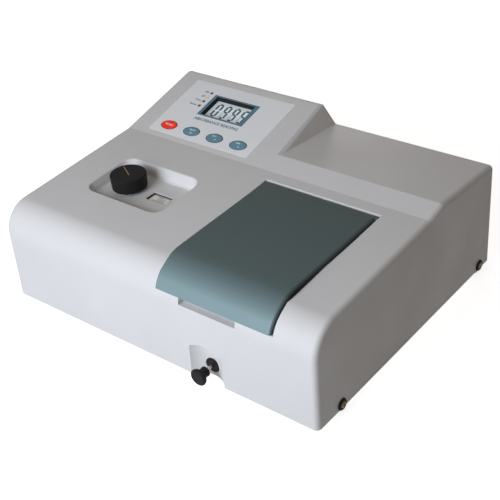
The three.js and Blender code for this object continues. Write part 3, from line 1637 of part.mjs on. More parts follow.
function addMonochromator() {
  addPiece('monochromator_housing', monochromatorHousing(), finishes.cast);
  addPiece('monochromator_lid', monochromatorLid(), finishes.cast);
  addPiece('collimating_mirror', collimatingMirror(), finishes.glass);
  const fold = addPiece('folding_mirror', foldingMirror(), finishes.glass);
  fold.position.set(mono.inputX, mono.foldY, 0);
  fold.rotation.z = -Math.PI / 4;
  const entrance = addPiece('entrance_slit', slitPlate(), finishes.black);
  entrance.position.set(mono.inputX, mono.rear - mono.wall - clearance.seat - optics.slitPlateThickness, beam.z);
  const exit = addPiece('exit_slit', slitPlate(), finishes.black);
  exit.position.set(mono.right - mono.wall - clearance.seat, beam.y, beam.z);
  exit.rotation.z = Math.PI / 2;
}

function addLamp() {
  addPiece('lamp_housing', lampHousing(), finishes.zinc);
  const bulb = addPiece('halogen_lamp', halogenLamp(), finishes.glass);
  bulb.position.set(mono.inputX, lamp.lampY, 0);
  const lens = addPiece('condenser_lens', condenserLens(), finishes.clear);
  lens.position.set(mono.inputX, lensPlace, beam.z);
  lens.rotation.x = Math.PI / 2;
  addPiece('detector_housing', detectorHousing(), finishes.matt);
}

function addConsole() {
  const face = new THREE.Group();
  face.position.set(0, cover.rampStart, cover.rampStartHeight);
  face.rotation.x = consoleAngle;
  body.add(face);
  addPiece('membrane_panel', membranePanel(), finishes.film, face);
  addPiece('display_module', displayModule(), finishes.glass, face);
  addPiece('display_board', displayBoard(), finishes.board, face);
  keyPlaces.forEach((x, i) => {
    const cap = addPiece(`key_${i + 1}`, key(), i === 0 ? finishes.red : finishes.teal, face);
    cap.position.set(x, keypad.rise, 0);
  });
  indicators.rises.forEach((rise, i) => {
    const led = addPiece(`status_led_${i + 1}`, statusLed(), i === 1 ? finishes.lampLit : finishes.lampRed, face);
    led.position.set(indicatorX, rise, 0);
  });
}

function addElectrics() {
  addPiece('main_board', mainBoardForm(), finishes.board);
  addPiece('transformer', transformerForm(), finishes.copper);
  addPiece('power_inlet', powerInlet(), finishes.black);
  addPiece('switch_bezel', switchBezel(), finishes.black);
  const toggle = addPiece('switch_rocker', switchRocker(), finishes.red);
  toggle.position.set(rocker.x, rockerPivotY, inlet.height);
  toggle.rotation.x = (-Math.PI / 180) * rocker.tilt;
}

addCover();
addBase();
addSideScrews();
addCompartment();
addDrive();
addMonochromator();
addLamp();
addConsole();
addElectrics();

export default object;
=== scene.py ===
"""Looks of the bench spectrophotometer: its meshes, finishes, studio and camera.

Sizes are in millimetres, measured from the middle of the cover's lower front edge, with +Y to
the rear and +Z up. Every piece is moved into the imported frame, in metres, when it is finished.
"""

import logging
import math
from dataclasses import dataclass
from enum import Enum
from typing import Callable, Sequence

import bmesh
import bpy
from mathutils import Matrix, Vector


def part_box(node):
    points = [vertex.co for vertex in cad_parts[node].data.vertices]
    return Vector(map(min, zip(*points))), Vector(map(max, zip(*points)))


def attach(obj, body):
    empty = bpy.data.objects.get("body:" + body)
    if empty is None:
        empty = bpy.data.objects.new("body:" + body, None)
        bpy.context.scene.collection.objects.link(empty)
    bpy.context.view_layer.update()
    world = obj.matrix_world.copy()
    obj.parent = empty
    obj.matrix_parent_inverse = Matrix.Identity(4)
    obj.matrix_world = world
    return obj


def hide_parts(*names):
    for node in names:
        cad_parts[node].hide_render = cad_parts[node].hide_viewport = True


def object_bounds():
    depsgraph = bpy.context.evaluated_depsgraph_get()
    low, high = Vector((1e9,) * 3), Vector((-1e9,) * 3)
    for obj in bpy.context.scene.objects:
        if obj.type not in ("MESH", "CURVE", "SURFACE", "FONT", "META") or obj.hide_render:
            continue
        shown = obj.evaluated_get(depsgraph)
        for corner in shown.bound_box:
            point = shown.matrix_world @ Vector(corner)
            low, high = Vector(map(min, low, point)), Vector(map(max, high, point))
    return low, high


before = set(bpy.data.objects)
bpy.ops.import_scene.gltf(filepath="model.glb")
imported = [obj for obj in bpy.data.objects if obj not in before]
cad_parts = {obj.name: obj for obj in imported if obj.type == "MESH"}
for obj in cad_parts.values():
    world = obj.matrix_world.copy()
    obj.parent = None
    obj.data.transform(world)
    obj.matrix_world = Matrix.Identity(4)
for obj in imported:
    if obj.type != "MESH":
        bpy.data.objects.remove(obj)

LOG = logging.getLogger("spectrophotometer")
MM = 0.001
CAD_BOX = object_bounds()

# Length by which a cutting form overruns the surface that it opens, and the usual small gap.
OVERRUN = 4.0
SEAT = 0.3
# Radius at which a turned form closes on its axis, and the share of a rounding that an inset leaves.
CLOSED = 0.001
LEAST_SHARE = 0.1
# Facets of round forms, of rounded corners and of large arcs.
ROUND = 64
SMALL_ROUND = 32
NOSE_STEPS = 24
EDGE_STEPS = 6
POCKET_STEPS = 8
# Bends in degrees over which an edge is softened, over which it stays sharp, and under which it is flat.
SOFT_ANGLE = 34.0
SHARP_ANGLE = 32.0
FLAT_ANGLE = 0.3

Corner = tuple[float, ...]
Limits = tuple[float, float, float, float]
Outline = list[Vector]
Place = Callable[[float, float, float], Vector]
Pair = tuple[float, float]
Triple = tuple[float, float, float]
Colour = Triple
Profile = list[Pair]
Step = Callable[[bmesh.types.BMesh], None]
Socket = bpy.types.NodeSocket


class Axis(Enum):
    """Direction along which a bar runs."""

    X = "x"
    Y = "y"
    Z = "z"


class Body(Enum):
    """Bodies of the instrument that pieces ride on, next to the four buttons."""

    INSTRUMENT = "instrument"
    LID = "lid"
    SLIDER = "cell_slider"
    DRIVE = "wavelength_drive"
    SWITCH = "switch"


class Grain(Enum):
    """Patterns that a finish can carry."""

    MOULDED = "moulded_grain"
    BRUSHED = "brushed_grain"


class Join(Enum):
    """Ways of combining two solids."""

    ADD = "UNION"
    CUT = "DIFFERENCE"
    COMMON = "INTERSECT"


# Outlines and solids


def stepped(total: float, steps: int) -> list[float]:
    """Return the values from zero to a total in equal steps."""
    return [total * step / steps for step in range(steps + 1)]


def rounded_outline(corners: Sequence[Corner], inset: float, steps: int) -> Outline:
    """Round the corners of a closed outline and move it inwards.

    Args:
        corners: Corners (u, v, radius) or (u, v, radius, steps), anticlockwise.
        inset: Distance by which every side moves inwards.
        steps: Facets of a rounded corner that names none of its own.

    Returns:
        The points of the outline.
    """
    points: Outline = []
    for index, (u, v, radius, *own) in enumerate(corners):
        facets = int(own[0]) if own else steps
        before, after = corners[index - 1], corners[(index + 1) % len(corners)]
        arrive = Vector((u - before[0], v - before[1])).normalized()
        leave = Vector((after[0] - u, after[1] - v)).normalized()
        in_arrive = Vector((-arrive.y, arrive.x))
        in_leave = Vector((-leave.y, leave.x))
        shift = inset / (1 + in_arrive.dot(in_leave))
        tip = Vector((u, v)) + (in_arrive + in_leave) * shift
        if radius == 0:
            points.append(tip)
            continue
        turn = math.atan2(arrive.x * leave.y - arrive.y * leave.x, arrive.dot(leave))
        side = math.copysign(1, turn)
        arc = max(radius - side * inset, radius * LEAST_SHARE)
        start = tip - arrive * arc * math.tan(abs(turn) / 2)
        centre = start + in_arrive * side * arc
        for angle in stepped(turn, facets):
            spoke = start - centre
            spoke.rotate(Matrix.Rotation(angle, 2))
            points.append(centre + spoke)
    return points


def along_x(u: float, v: float, at: float) -> Vector:
    """Place an outline point (y, z) at a distance along X."""
    return Vector((at, u, v))


def along_z(u: float, v: float, at: float) -> Vector:
    """Place an outline point (x, y) at a height."""
    return Vector((u, v, at))


def weld(work: bmesh.types.BMesh) -> None:
    """Merge points that lie together."""
    bmesh.ops.remove_doubles(work, verts=work.verts, dist=MM)


def face_outwards(work: bmesh.types.BMesh) -> None:
    """Turn all faces outwards."""
    bmesh.ops.recalc_face_normals(work, faces=work.faces)


def join_flat_faces(work: bmesh.types.BMesh) -> None:
    """Make flat faces whole again."""
    bmesh.ops.dissolve_limit(work, angle_limit=math.radians(FLAT_ANGLE), verts=work.verts, edges=work.edges)


def reworked(meshes: Sequence[bpy.types.Mesh], *steps: Step) -> bpy.types.Mesh:
    """Put meshes into one new mesh and change it.

    Args:
        meshes: Meshes that are put together without joining them.
        steps: Changes, in their order.

    Returns:
        The new mesh.
    """
    work = bmesh.new()
    for mesh in meshes:
        work.from_mesh(mesh)
    for step in steps:
        step(work)
    made = bpy.data.meshes.new("solid")
    work.to_mesh(made)
    work.free()
    return made


def scene_object(name: str, data: bpy.types.ID) -> bpy.types.Object:
    """Make an object and link it to the scene.

    Args:
        name: Name of the object.
        data: Its mesh, text, lamp or camera.

    Returns:
        The object.
    """
    item = bpy.data.objects.new(name, data)
    bpy.context.scene.collection.objects.link(item)
    return item


def evaluated_mesh(item: bpy.types.Object) -> bpy.types.Mesh:
    """Apply an object's modifiers to its mesh and remove the object.

    Args:
        item: Object with its modifiers.

    Returns:
        The plain mesh.
    """
    bpy.context.view_layer.update()
    depsgraph = bpy.context.evaluated_depsgraph_get()
    mesh = bpy.data.meshes.new_from_object(item.evaluated_get(depsgraph), depsgraph=depsgraph)
    bpy.data.objects.remove(item)
    return mesh


class Solid:
    """Closed mesh in millimetres that can be joined, cut and softened."""

    def __init__(self, mesh: bpy.types.Mesh) -> None:
        """Keep the mesh that this solid works on."""
        self.mesh = mesh

    @classmethod
    def from_faces(cls, points: Sequence[Vector], faces: Sequence[Sequence[int]]) -> "Solid":
        """Make a solid from its faces, turned outwards.

        Args:
            points: Points of the solid.
            faces: Point indices of each face.

        Returns:
            The solid.
        """
        mesh = bpy.data.meshes.new("faces")
        mesh.from_pydata([tuple(point) for point in points], [], [list(face) for face in faces])
        return cls(reworked([mesh], weld, face_outwards))

    @classmethod
    def from_node(cls, node: str) -> "Solid":
        """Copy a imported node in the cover's millimetres, with its flat faces whole again.

        Args:
            node: Name of the node.

        Returns:
            The copy.
        """
        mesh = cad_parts[node].data.copy()
        mesh.transform(FRAME_PLACE.inverted())
        return cls(reworked([mesh], weld, join_flat_faces))

    def copy(self) -> "Solid":
        """Return a solid with its own copy of the mesh."""
        return Solid(self.mesh.copy())

    def moved(self, matrix: Matrix) -> "Solid":
        """Return this solid after moving its points by a matrix."""
        self.mesh.transform(matrix)
        return self

    def changed(self, kind: str, **values: object) -> "Solid":
        """Change this solid's mesh by one modifier.

        Args:
            kind: Type of the modifier.
            values: Settings of the modifier.

        Returns:
            This solid with its new mesh.
        """
        item = scene_object("work", self.mesh)
        modifier = item.modifiers.new("change", kind)
        for name, value in values.items():
            setattr(modifier, name, value)
        self.mesh = evaluated_mesh(item)
        return self

    def combined(self, how: Join, others: Sequence["Solid"]) -> "Solid":
        """Combine this solid with others, one after another.

        Args:
            how: Kind of combination.
            others: Solids that are added, taken away or kept in common.

        Returns:
            This solid with its new mesh.
        """
        for other in others:
            tool = scene_object("tool", other.mesh)
            self.changed("BOOLEAN", operation=how.value, solver="MANIFOLD", object=tool)
            bpy.data.objects.remove(tool)
        return self

    def add(self, *others: "Solid") -> "Solid":
        """Join other solids to this one."""
        return self.combined(Join.ADD, others)

    def cut(self, *others: "Solid") -> "Solid":
        """Take other solids away from this one."""
        return self.combined(Join.CUT, others)

    def common(self, *others: "Solid") -> "Solid":
        """Keep only what this solid shares with the others."""
        return self.combined(Join.COMMON, others)

    def softened(self, width: float) -> "Solid":
        """Round the sharp edges by a width."""
        sharp = {"limit_method": "ANGLE", "angle_limit": math.radians(SOFT_ANGLE)}
        return self.changed("BEVEL", width=width, segments=2, miter_outer="MITER_ARC", **sharp)

    def shaded(self) -> bpy.types.Mesh:
        """Shade the faces smooth except at sharp edges, with flat faces kept flat.

        Returns:
            The solid's mesh.
        """
        self.mesh.shade_smooth()
        self.mesh.set_sharp_from_angle(angle=math.radians(SHARP_ANGLE))
        return self.changed("WEIGHTED_NORMAL", keep_sharp=True).mesh


def loft(rings: Sequence[Outline], heights: Sequence[float], place: Place) -> Solid:
    """Skin over outlines of equal point count, closed at both ends.

    Args:
        rings: Outlines, one for each section.
        heights: Where each section stands along the third direction.
        place: Maps an outline point and its height to space.

    Returns:
        The closed solid.
    """
    count = len(rings[0])
    points = [place(p.x, p.y, at) for ring, at in zip(rings, heights) for p in ring]
    last = count * (len(rings) - 1)
    faces: list[Sequence[int]] = []
    for low in range(0, last, count):
        for index in range(count):
            after = (index + 1) % count
            faces.append((low + index, low + after, low + count + after, low + count + index))
    return Solid.from_faces(points, [*faces, range(count), range(last, last + count)])


def prism(ring: Outline, low: float, high: float) -> Solid:
    """Make an upright prism over an outline (x, y)."""
    return loft([ring, ring], [low, high], along_z)


def flat_ring(outer: Outline, inner: Outline, low: float, high: float) -> Solid:
    """Make an upright ring between two outlines (x, y)."""
    return prism(outer, low, high).cut(prism(inner, low - OVERRUN, high + OVERRUN))


def rectangle(x0: float, x1: float, y0: float, y1: float) -> Outline:
    """Return the corners of a rectangle, anticlockwise."""
    return [Vector(corner) for corner in ((x0, y0), (x1, y0), (x1, y1), (x0, y1))]


def box(x0: float, x1: float, y0: float, y1: float, z0: float, z1: float) -> Solid:
    """Make a block from its lower and upper limits along X, Y and Z."""
    return prism(rectangle(x0, x1, y0, y1), z0, z1)


def ellipse(a: float, b: float, x: float = 0.0, y: float = 0.0, sides: int = ROUND) -> Outline:
    """Return the points of an ellipse with half axes a and b, anticlockwise."""
    turns = [math.tau * i / sides for i in range(sides)]
    return [Vector((x + a * math.cos(turn), y + b * math.sin(turn))) for turn in turns]


def bar(axis: Axis, start: float, end: float, a: float, b: float, radius: float, sides: int) -> Solid:
    """Make a round bar along an axis.

    Args:
        axis: Direction of the bar.
        start: Where the bar starts along its axis.
        end: Where it ends.
        a: First of the other two coordinates of its centre line.
        b: Second of the other two coordinates.
        radius: Radius of the bar.
        sides: Facets round it.

    Returns:
        The bar.
    """
    places: dict[Axis, Place] = {
        Axis.X: lambda u, v, at: Vector((at, a + u, b + v)),
        Axis.Y: lambda u, v, at: Vector((a + u, at, b + v)),
        Axis.Z: lambda u, v, at: Vector((a + u, b + v, at)),
    }
    ring = [point * radius for point in ellipse(1.0, 1.0, sides=sides)]
    return loft([ring, ring], [start, end], places[axis])


def turned(profile: Profile, sides: int = ROUND) -> Solid:
    """Turn a profile about Z.

    Args:
        profile: Pairs (radius, height), from one end of the solid to the other.
        sides: Facets round it.

    Returns:
        The closed solid; a profile that returns to its start gives a ring.
    """
    closed = profile[0] == profile[-1]
    rows = profile[:-1] if closed else profile
    rings = [ellipse(radius, radius, sides=sides) for radius, _ in rows]
    points = [along_z(p.x, p.y, height) for ring, (_, height) in zip(rings, rows) for p in ring]
    faces: list[Sequence[int]] = []
    for row in range(len(rows) if closed else len(rows) - 1):
        low, high = row * sides, (row + 1) % len(rows) * sides
        for i in range(sides):
            after = (i + 1) % sides
            faces.append((low + i, low + after, high + after, high + i))
    if not closed:
        last = (len(rows) - 1) * sides
        faces += [range(sides), range(last, last + sides)]
    return Solid.from_faces(points, faces)


def smooth_profile(corners: Sequence[Corner], ring: bool = False) -> Profile:
    """Round the inner corners of an open profile.

    Args:
        corners: Corners (radius, height, rounding) from one end to the other.
        ring: Whether the profile returns to its start.

    Returns:
        The profile as pairs (radius, height).
    """
    points: Profile = [corners[0][:2]]
    for before, corner, after in zip(corners, corners[1:], corners[2:]):
        tip = Vector(corner[:2])
        if corner[2] == 0:
            points.append(tuple(tip))
            continue
        back = (Vector(before[:2]) - tip).normalized() * corner[2]
        onward = (Vector(after[:2]) - tip).normalized() * corner[2]
        for t in stepped(1.0, EDGE_STEPS):
            points.append(tuple(tip + back * (1 - t) ** 2 + onward * t**2))
    points.append(corners[-1][:2])
    return [*points, points[0]] if ring else points


def lettering(text: str, height: float, thickness: float, boldness: float = 0.0) -> Solid:
    """Write generic words as a thin closed solid, centred on the origin of the XY plane.

    Args:
        text: Words to write.
        height: Height of a capital letter.
        thickness: Height of the raised print.
        boldness: Amount by which the strokes grow on each side.

    Returns:
        The print.
    """
    cap_share = 0.7
    curve = bpy.data.curves.new("print", "FONT")
    curve.body = text
    curve.size = height / cap_share
    curve.align_x = "CENTER"
    curve.align_y = "CENTER"
    curve.extrude = thickness / 2
    curve.resolution_u = 2
    plain = Solid(reworked([evaluated_mesh(scene_object("print", curve))], weld, face_outwards))
    if boldness <= 0:
        return plain
    shifts = [(x, y, 0) for x in (boldness, -boldness) for y in (boldness, -boldness)]
    first, *others = [plain.copy().moved(Matrix.Translation(shift)) for shift in shifts]
    return first.add(*others)


def merged(solids: Sequence[Solid]) -> Solid:
    """Put separate solids into one mesh without joining them."""
    return Solid(reworked([solid.mesh for solid in solids]))


def chamfer_tool(start: Vector, length: float, width: float) -> Solid:
    """Make the tool that breaks an edge along X.

    Args:
        start: Left end of the edge.
        length: Length of the edge.
        width: Half of the tool's side.

    Returns:
        The tool.
    """
    tool = box(0, length, -width, width, -width, width)
    return tool.moved(Matrix.Translation(start) @ Matrix.Rotation(math.pi / 4, 4, "X"))


@dataclass(frozen=True)
class Shell:
    """Main sizes of the cover, by which the other pieces are placed."""

    half: float = 210.0
    depth: float = 340.0
    wall: float = 3.0
    front_lean: float = 2.0
    deck_front: float = 111.5
    ramp_start: float = 204.0
    ramp_height: float = 123.0
    console_height: float = 156.4
    axis_x: float = -123.0
    axis_y: float = 115.5
    pocket_sink: float = 11.5
    rod_x: float = 75.0
    rod_z: float = 13.5
    screw_places: Pair = (39.6, 314.3)
    screw_height: float = 5.7

    def deck_slope(self) -> float:
        """Return the rise of the deck for each millimetre to the rear."""
        return (self.ramp_height - self.deck_front) / (self.ramp_start - self.front_lean)

    def deck_height(self, y: float) -> float:
        """Return the height of the deck at a place y."""
        return self.deck_front + self.deck_slope() * (y - self.front_lean)

    def pocket_floor(self) -> float:
        """Return the height of the knob pocket's floor."""
        return self.deck_height(self.axis_y) - self.pocket_sink

    def console_angle(self) -> float:
        """Return the tilt of the console's face, in radians."""
        return math.atan2(self.console_height - self.ramp_height, self.depth - self.ramp_start)

    def console_matrix(self) -> Matrix:
        """Return the matrix of the face: X across, Y up the slope from its foot, Z out of it."""
        foot = Matrix.Translation((0, self.ramp_start, self.ramp_height))
        return foot @ Matrix.Rotation(self.console_angle(), 4, "X")


SHELL = Shell()
FRAME_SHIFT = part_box("top_cover")[0] - Vector((-SHELL.half * MM, 0, 0))
FRAME_PLACE = Matrix.Translation(FRAME_SHIFT) @ Matrix.Scale(MM, 4)


def local_box(node: str) -> tuple[Vector, Vector]:
    """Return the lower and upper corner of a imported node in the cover's millimetres."""
    low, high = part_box(node)
    return (low - FRAME_SHIFT) / MM, (high - FRAME_SHIFT) / MM


def within(limits: Limits, walls: Limits) -> Limits:
    """Return the limits of the space inside four walls."""
    (x0, x1, y0, y1), (left, right, bottom, top) = limits, walls
    return x0 + left, x1 - right, y0 + bottom, y1 - top


def grown(limits: Limits, amount: float) -> Limits:
    """Return the limits of a rectangle after all its sides move outwards by an amount."""
    return within(limits, (-amount,) * 4)


# Finishes

GRAIN_INPUTS: dict[str, object] = {
    "Colour": (0.8, 0.8, 0.8, 1.0),
    "Shaded Colour": (0.7, 0.7, 0.7, 1.0),
    "Patch Scale": 30.0,
    "Grain Scale": 900.0,
    "Smooth": 0.4,
    "Rough": 0.6,
    "Stretch": (1.0, 1.0, 1.0),
}
# Share of the colour and of the roughness that follows the patches, and what the fine grain adds.
PATCH_SHARE = 0.7
PATCH_ROUGHNESS = 0.5
SPECKLE = 0.8
# Noise values that are spread over the whole range of the patches and of the roughness.
PATCH_BAND = (0.3, 0.7)
ROUGH_BAND = (0.2, 0.8)
# Scale of the long scratches against the fine ones.
SCRATCH_SCALE = 0.35
# Octaves of noise in the patches, the grain and the long scratches.
PATCH_DETAIL = 3.0
GRAIN_DETAIL = 2.0
SCRATCH_DETAIL = 4.0
# Inputs of a colour mix node by their numbers.
FIRST_COLOUR = 6
SECOND_COLOUR = 7


class Wiring:
    """Adds nodes to a tree and joins them."""

    def __init__(self, tree: bpy.types.NodeTree) -> None:
        """Keep the tree that the nodes go into."""
        self.tree = tree

    def node(self, kind: str, given: dict | None = None, **values: object) -> bpy.types.Node:
        """Add a node and set it up.

        Args:
            kind: Type of the node.
            given: Value or socket for each of its inputs, by name or number.
            values: Properties of the node.

        Returns:
            The node.
        """
        made = self.tree.nodes.new(kind)
        for name, value in values.items():
            setattr(made, name, value)
        self.fill(made, given or {})
        return made

    def fill(self, node: bpy.types.Node, given: dict) -> None:
        """Set inputs of a node, or join sockets to them.

        Args:
            node: Node whose inputs are set.
            given: Value or socket for each input, by name or number.
        """
        for name, value in given.items():
            if isinstance(value, Socket):
                self.tree.links.new(value, node.inputs[name])
            else:
                node.inputs[name].default_value = value

    def find(self, kind: str) -> bpy.types.Node:
        """Return the tree's node of a kind."""
        return next(node for node in self.tree.nodes if node.bl_idname == kind)

    def coordinates(self, output: str) -> Socket:
        """Return an output of a new texture coordinate node."""
        return self.node("ShaderNodeTexCoord").outputs[output]

    def split(self, vector: Socket, part: str) -> Socket:
        """Return one part of a vector."""
        return self.node("ShaderNodeSeparateXYZ", {0: vector}).outputs[part]

    def vector(self, x: object = 0.0, y: object = 0.0, z: object = 0.0) -> Socket:
        """Return a vector made of sockets or numbers."""
        return self.node("ShaderNodeCombineXYZ", {"X": x, "Y": y, "Z": z}).outputs[0]

    def noise(self, vector: Socket, scale: Socket, detail: float) -> Socket:
        """Add a noise texture on a vector and return its value."""
        given = {"Vector": vector, "Scale": scale, "Detail": detail}
        return self.node("ShaderNodeTexNoise", given).outputs["Fac"]

    def math(self, operation: str, a: object, b: object = 0.0) -> Socket:
        """Add a math node on sockets or numbers and return its value."""
        return self.node("ShaderNodeMath", {0: a, 1: b}, operation=operation).outputs[0]

    def times(self, a: object, b: object) -> Socket:
        """Multiply sockets or numbers and return the product."""
        return self.math("MULTIPLY", a, b)

    def ranged(self, value: Socket, low: object, high: object, to_low: object, to_high: object) -> Socket:
        """Map a value from one range to another and return it."""
        given = {"Value": value, "From Min": low, "From Max": high, "To Min": to_low, "To Max": to_high}
        return self.node("ShaderNodeMapRange", given).outputs["Result"]

    def blended(self, factor: Socket, first: object, second: object) -> Socket:
        """Blend two colours by a factor and return the result."""
        given = {"Factor": factor, FIRST_COLOUR: first, SECOND_COLOUR: second}
        return self.node("ShaderNodeMix", given, data_type="RGBA").outputs[2]

    def banded(self, value: Socket, band: Pair, first: object, second: object) -> Socket:
        """Blend two colours while a value goes through a band."""
        return self.blended(self.ranged(value, *band, 0.0, 1.0), first, second)


def grain_group(grain: Grain) -> bpy.types.NodeTree:
    """Build the shader group of a grain, or return it where it is built.

    Args:
        grain: Kind of grain.

    Returns:
        Group that puts out Colour, Roughness and Height.
    """
    if grain.value in bpy.data.node_groups:
        return bpy.data.node_groups[grain.value]
    group = bpy.data.node_groups.new(grain.value, "ShaderNodeTree")
    kinds = {4: "NodeSocketColor", 3: "NodeSocketVector", 1: "NodeSocketFloat"}
    for label, default in GRAIN_INPUTS.items():
        kind = kinds[len(default) if isinstance(default, tuple) else 1]
        group.interface.new_socket(label, in_out="INPUT", socket_type=kind).default_value = default
    for label, kind in (("Colour", "Color"), ("Roughness", "Float"), ("Height", "Float")):
        group.interface.new_socket(label, in_out="OUTPUT", socket_type=f"NodeSocket{kind}")
    wiring = Wiring(group)
    given = wiring.node("NodeGroupInput").outputs
    place = wiring.coordinates("Object")
    stretch = {0: place, 1: given["Stretch"]}
    stretched = wiring.node("ShaderNodeVectorMath", stretch, operation="MULTIPLY").outputs[0]
    patches = wiring.noise(place, given["Patch Scale"], PATCH_DETAIL)
    fine = wiring.noise(stretched, given["Grain Scale"], GRAIN_DETAIL)
    if grain is Grain.BRUSHED:
        scale = wiring.times(given["Grain Scale"], SCRATCH_SCALE)
        lines = wiring.noise(stretched, scale, SCRATCH_DETAIL)
        fine = wiring.times(wiring.math("ADD", fine, lines), 0.5)
    spread = wiring.ranged(patches, *PATCH_BAND, 0.0, 1.0)
    speckle = wiring.times(wiring.math("SUBTRACT", fine, 0.5), SPECKLE)
    factor = wiring.math("ADD", wiring.times(spread, PATCH_SHARE), speckle)
    from_patches = wiring.times(spread, PATCH_ROUGHNESS)
    from_grain = wiring.times(fine, 1 - PATCH_ROUGHNESS)
    roughness = wiring.math("ADD", from_patches, from_grain)
    result = {
        "Colour": wiring.blended(factor, given["Colour"], given["Shaded Colour"]),
        "Roughness": wiring.ranged(roughness, *ROUGH_BAND, given["Smooth"], given["Rough"]),
        "Height": fine,
    }
    wiring.node("NodeGroupOutput", result)
    return group


def linear(colour: Colour, share: float = 1.0) -> tuple[float, float, float, float]:
    """Turn a colour as it is seen on a screen into Blender's linear values.

    Args:
        colour: Colour as seen.
        share: Share of the colour that is taken.

    Returns:
        Linear red, green, blue and full opacity.
    """
    def channel(value: float) -> float:
        """Turn one channel."""
        return value / 12.92 if value <= 0.04045 else ((value + 0.055) / 1.055) ** 2.4

    return (*(channel(value * share) for value in colour), 1.0)


@dataclass(frozen=True)
class Finish:
    """Finish of a surface: its colour as seen, grain, gloss and kind of matter.

    The sizes of its patches and grain are in metres and the depth of its relief is in micrometres.
    Its gloss is the least and the most roughness. Below and across a band of heights the colour blends
    into a lighter colour, which is painted light coming through the lower part, and on sides that face
    right it blends into a darker colour, which is painted shade on the sides turned from the lamps.
    """

    name: str
    colour: Colour
    gloss: Pair = (0.42, 0.56)
    shade: float = 0.05
    patch: float = 0.05
    grain: float = 0.0009
    depth: float = 20.0
    metallic: float = 0.0
    specular: float = 0.5
    coat: float = 0.0
    clear: float = 0.0
    glow: float = 0.0
    kind: Grain = Grain.MOULDED
    stretch: Triple = (1.0, 1.0, 1.0)
    # Painted light below a band of heights in metres, and painted shade on sides that face right.
    painted_light_colour: Colour | None = None
    painted_light_band: Pair = (0.0, 0.1)
    painted_shade_colour: Colour | None = None
    painted_shade_band: Pair = (0.15, 0.8)

    def material(self) -> bpy.types.Material:
        """Build the finish's material, or return it where it is built.

        Returns:
            The material.
        """
        if self.name in bpy.data.materials:
            return bpy.data.materials[self.name]
        made = bpy.data.materials.new(self.name)
        made.use_nodes = True
        wiring = Wiring(made.node_tree)
        given = {
            "Patch Scale": 1 / self.patch,
            "Grain Scale": 1 / self.grain,
            "Smooth": self.gloss[0],
            "Rough": self.gloss[1],
            "Stretch": self.stretch,
        }
        for label, share in (("Colour", 1.0), ("Shaded Colour", 1 - self.shade)):
            given[label] = linear(self.colour, share)
            # Painted light: below the band of heights the colour turns lighter.
            if self.painted_light_colour:
                height = wiring.split(wiring.coordinates("Object"), "Z")
                low = linear(self.painted_light_colour, share)
                given[label] = wiring.banded(height, self.painted_light_band, low, given[label])
        grain = wiring.node("ShaderNodeGroup", given, node_tree=grain_group(self.kind)).outputs
        colour = grain["Colour"]
        # Painted shade: sides that face right turn darker.
        if self.painted_shade_colour:
            side = wiring.split(wiring.coordinates("Normal"), "X")
            colour = wiring.banded(side, self.painted_shade_band, colour, linear(self.painted_shade_colour))
        relief = {"Strength": 1.0, "Distance": self.depth * MM * MM, "Height": grain["Height"]}
        surface = {
            "Metallic": self.metallic,
            "Specular IOR Level": self.specular,
            "Coat Weight": self.coat,
            "Transmission Weight": self.clear,
            "Emission Strength": self.glow,
            "Base Color": colour,
            "Roughness": grain["Roughness"],
            "Normal": wiring.node("ShaderNodeBump", relief).outputs["Normal"],
        }
        if self.glow > 0:
            surface["Emission Color"] = grain["Colour"]
        shader = wiring.find("ShaderNodeBsdfPrincipled")
        wiring.fill(shader, surface)
        if self.clear > 0:
            self.let_shadows_through(wiring, shader)
        return made

    def let_shadows_through(self, wiring: Wiring, shader: bpy.types.Node) -> None:
        """Let light pass a clear piece, so that what lies under it is lit.

        Args:
            wiring: Wiring of the material.
            shader: Shader of the clear piece.
        """
        shadow = wiring.node("ShaderNodeLightPath").outputs["Is Shadow Ray"]
        clear = wiring.node("ShaderNodeBsdfTransparent").outputs[0]
        mix = wiring.node("ShaderNodeMixShader", {0: shadow, 1: shader.outputs[0], 2: clear})
        wiring.fill(wiring.find("ShaderNodeOutputMaterial"), {"Surface": mix.outputs[0]})


PALE_SHELL = Finish(
    "pale_moulded_shell", (0.895, 0.89, 0.885), (0.46, 0.6), shade=0.012, grain=0.0011, depth=18.0
)
# The smoky lid is lighter low on its nose, which is painted light, and darker on sides that face right,
# which is painted shade.
SMOKY = Finish(
    "smoky_blue_grey_lid", (0.262, 0.323, 0.315), (0.3, 0.38), shade=0.02, depth=3.0, specular=0.25,
    painted_light_colour=(0.54, 0.632, 0.645), painted_light_band=(0.112, 0.1345), painted_shade_colour=(0.08, 0.09, 0.09),
)
SATIN_BLACK = Finish(
    "satin_black_plastic", (0.165, 0.16, 0.16), (0.42, 0.55), shade=0.15, depth=10.0, specular=0.05
)
# Dark grey liner on the window slot's walls: painted shade inside the slot.
WINDOW_SHADE = Finish("window_painted_shade", (0.3, 0.3, 0.31), (0.7, 0.85), shade=0.1, specular=0.2)
MATT_BLACK = Finish(
    "matt_black_paint", (0.1, 0.1, 0.1), (0.7, 0.85), shade=0.15, depth=30.0, specular=0.3
)
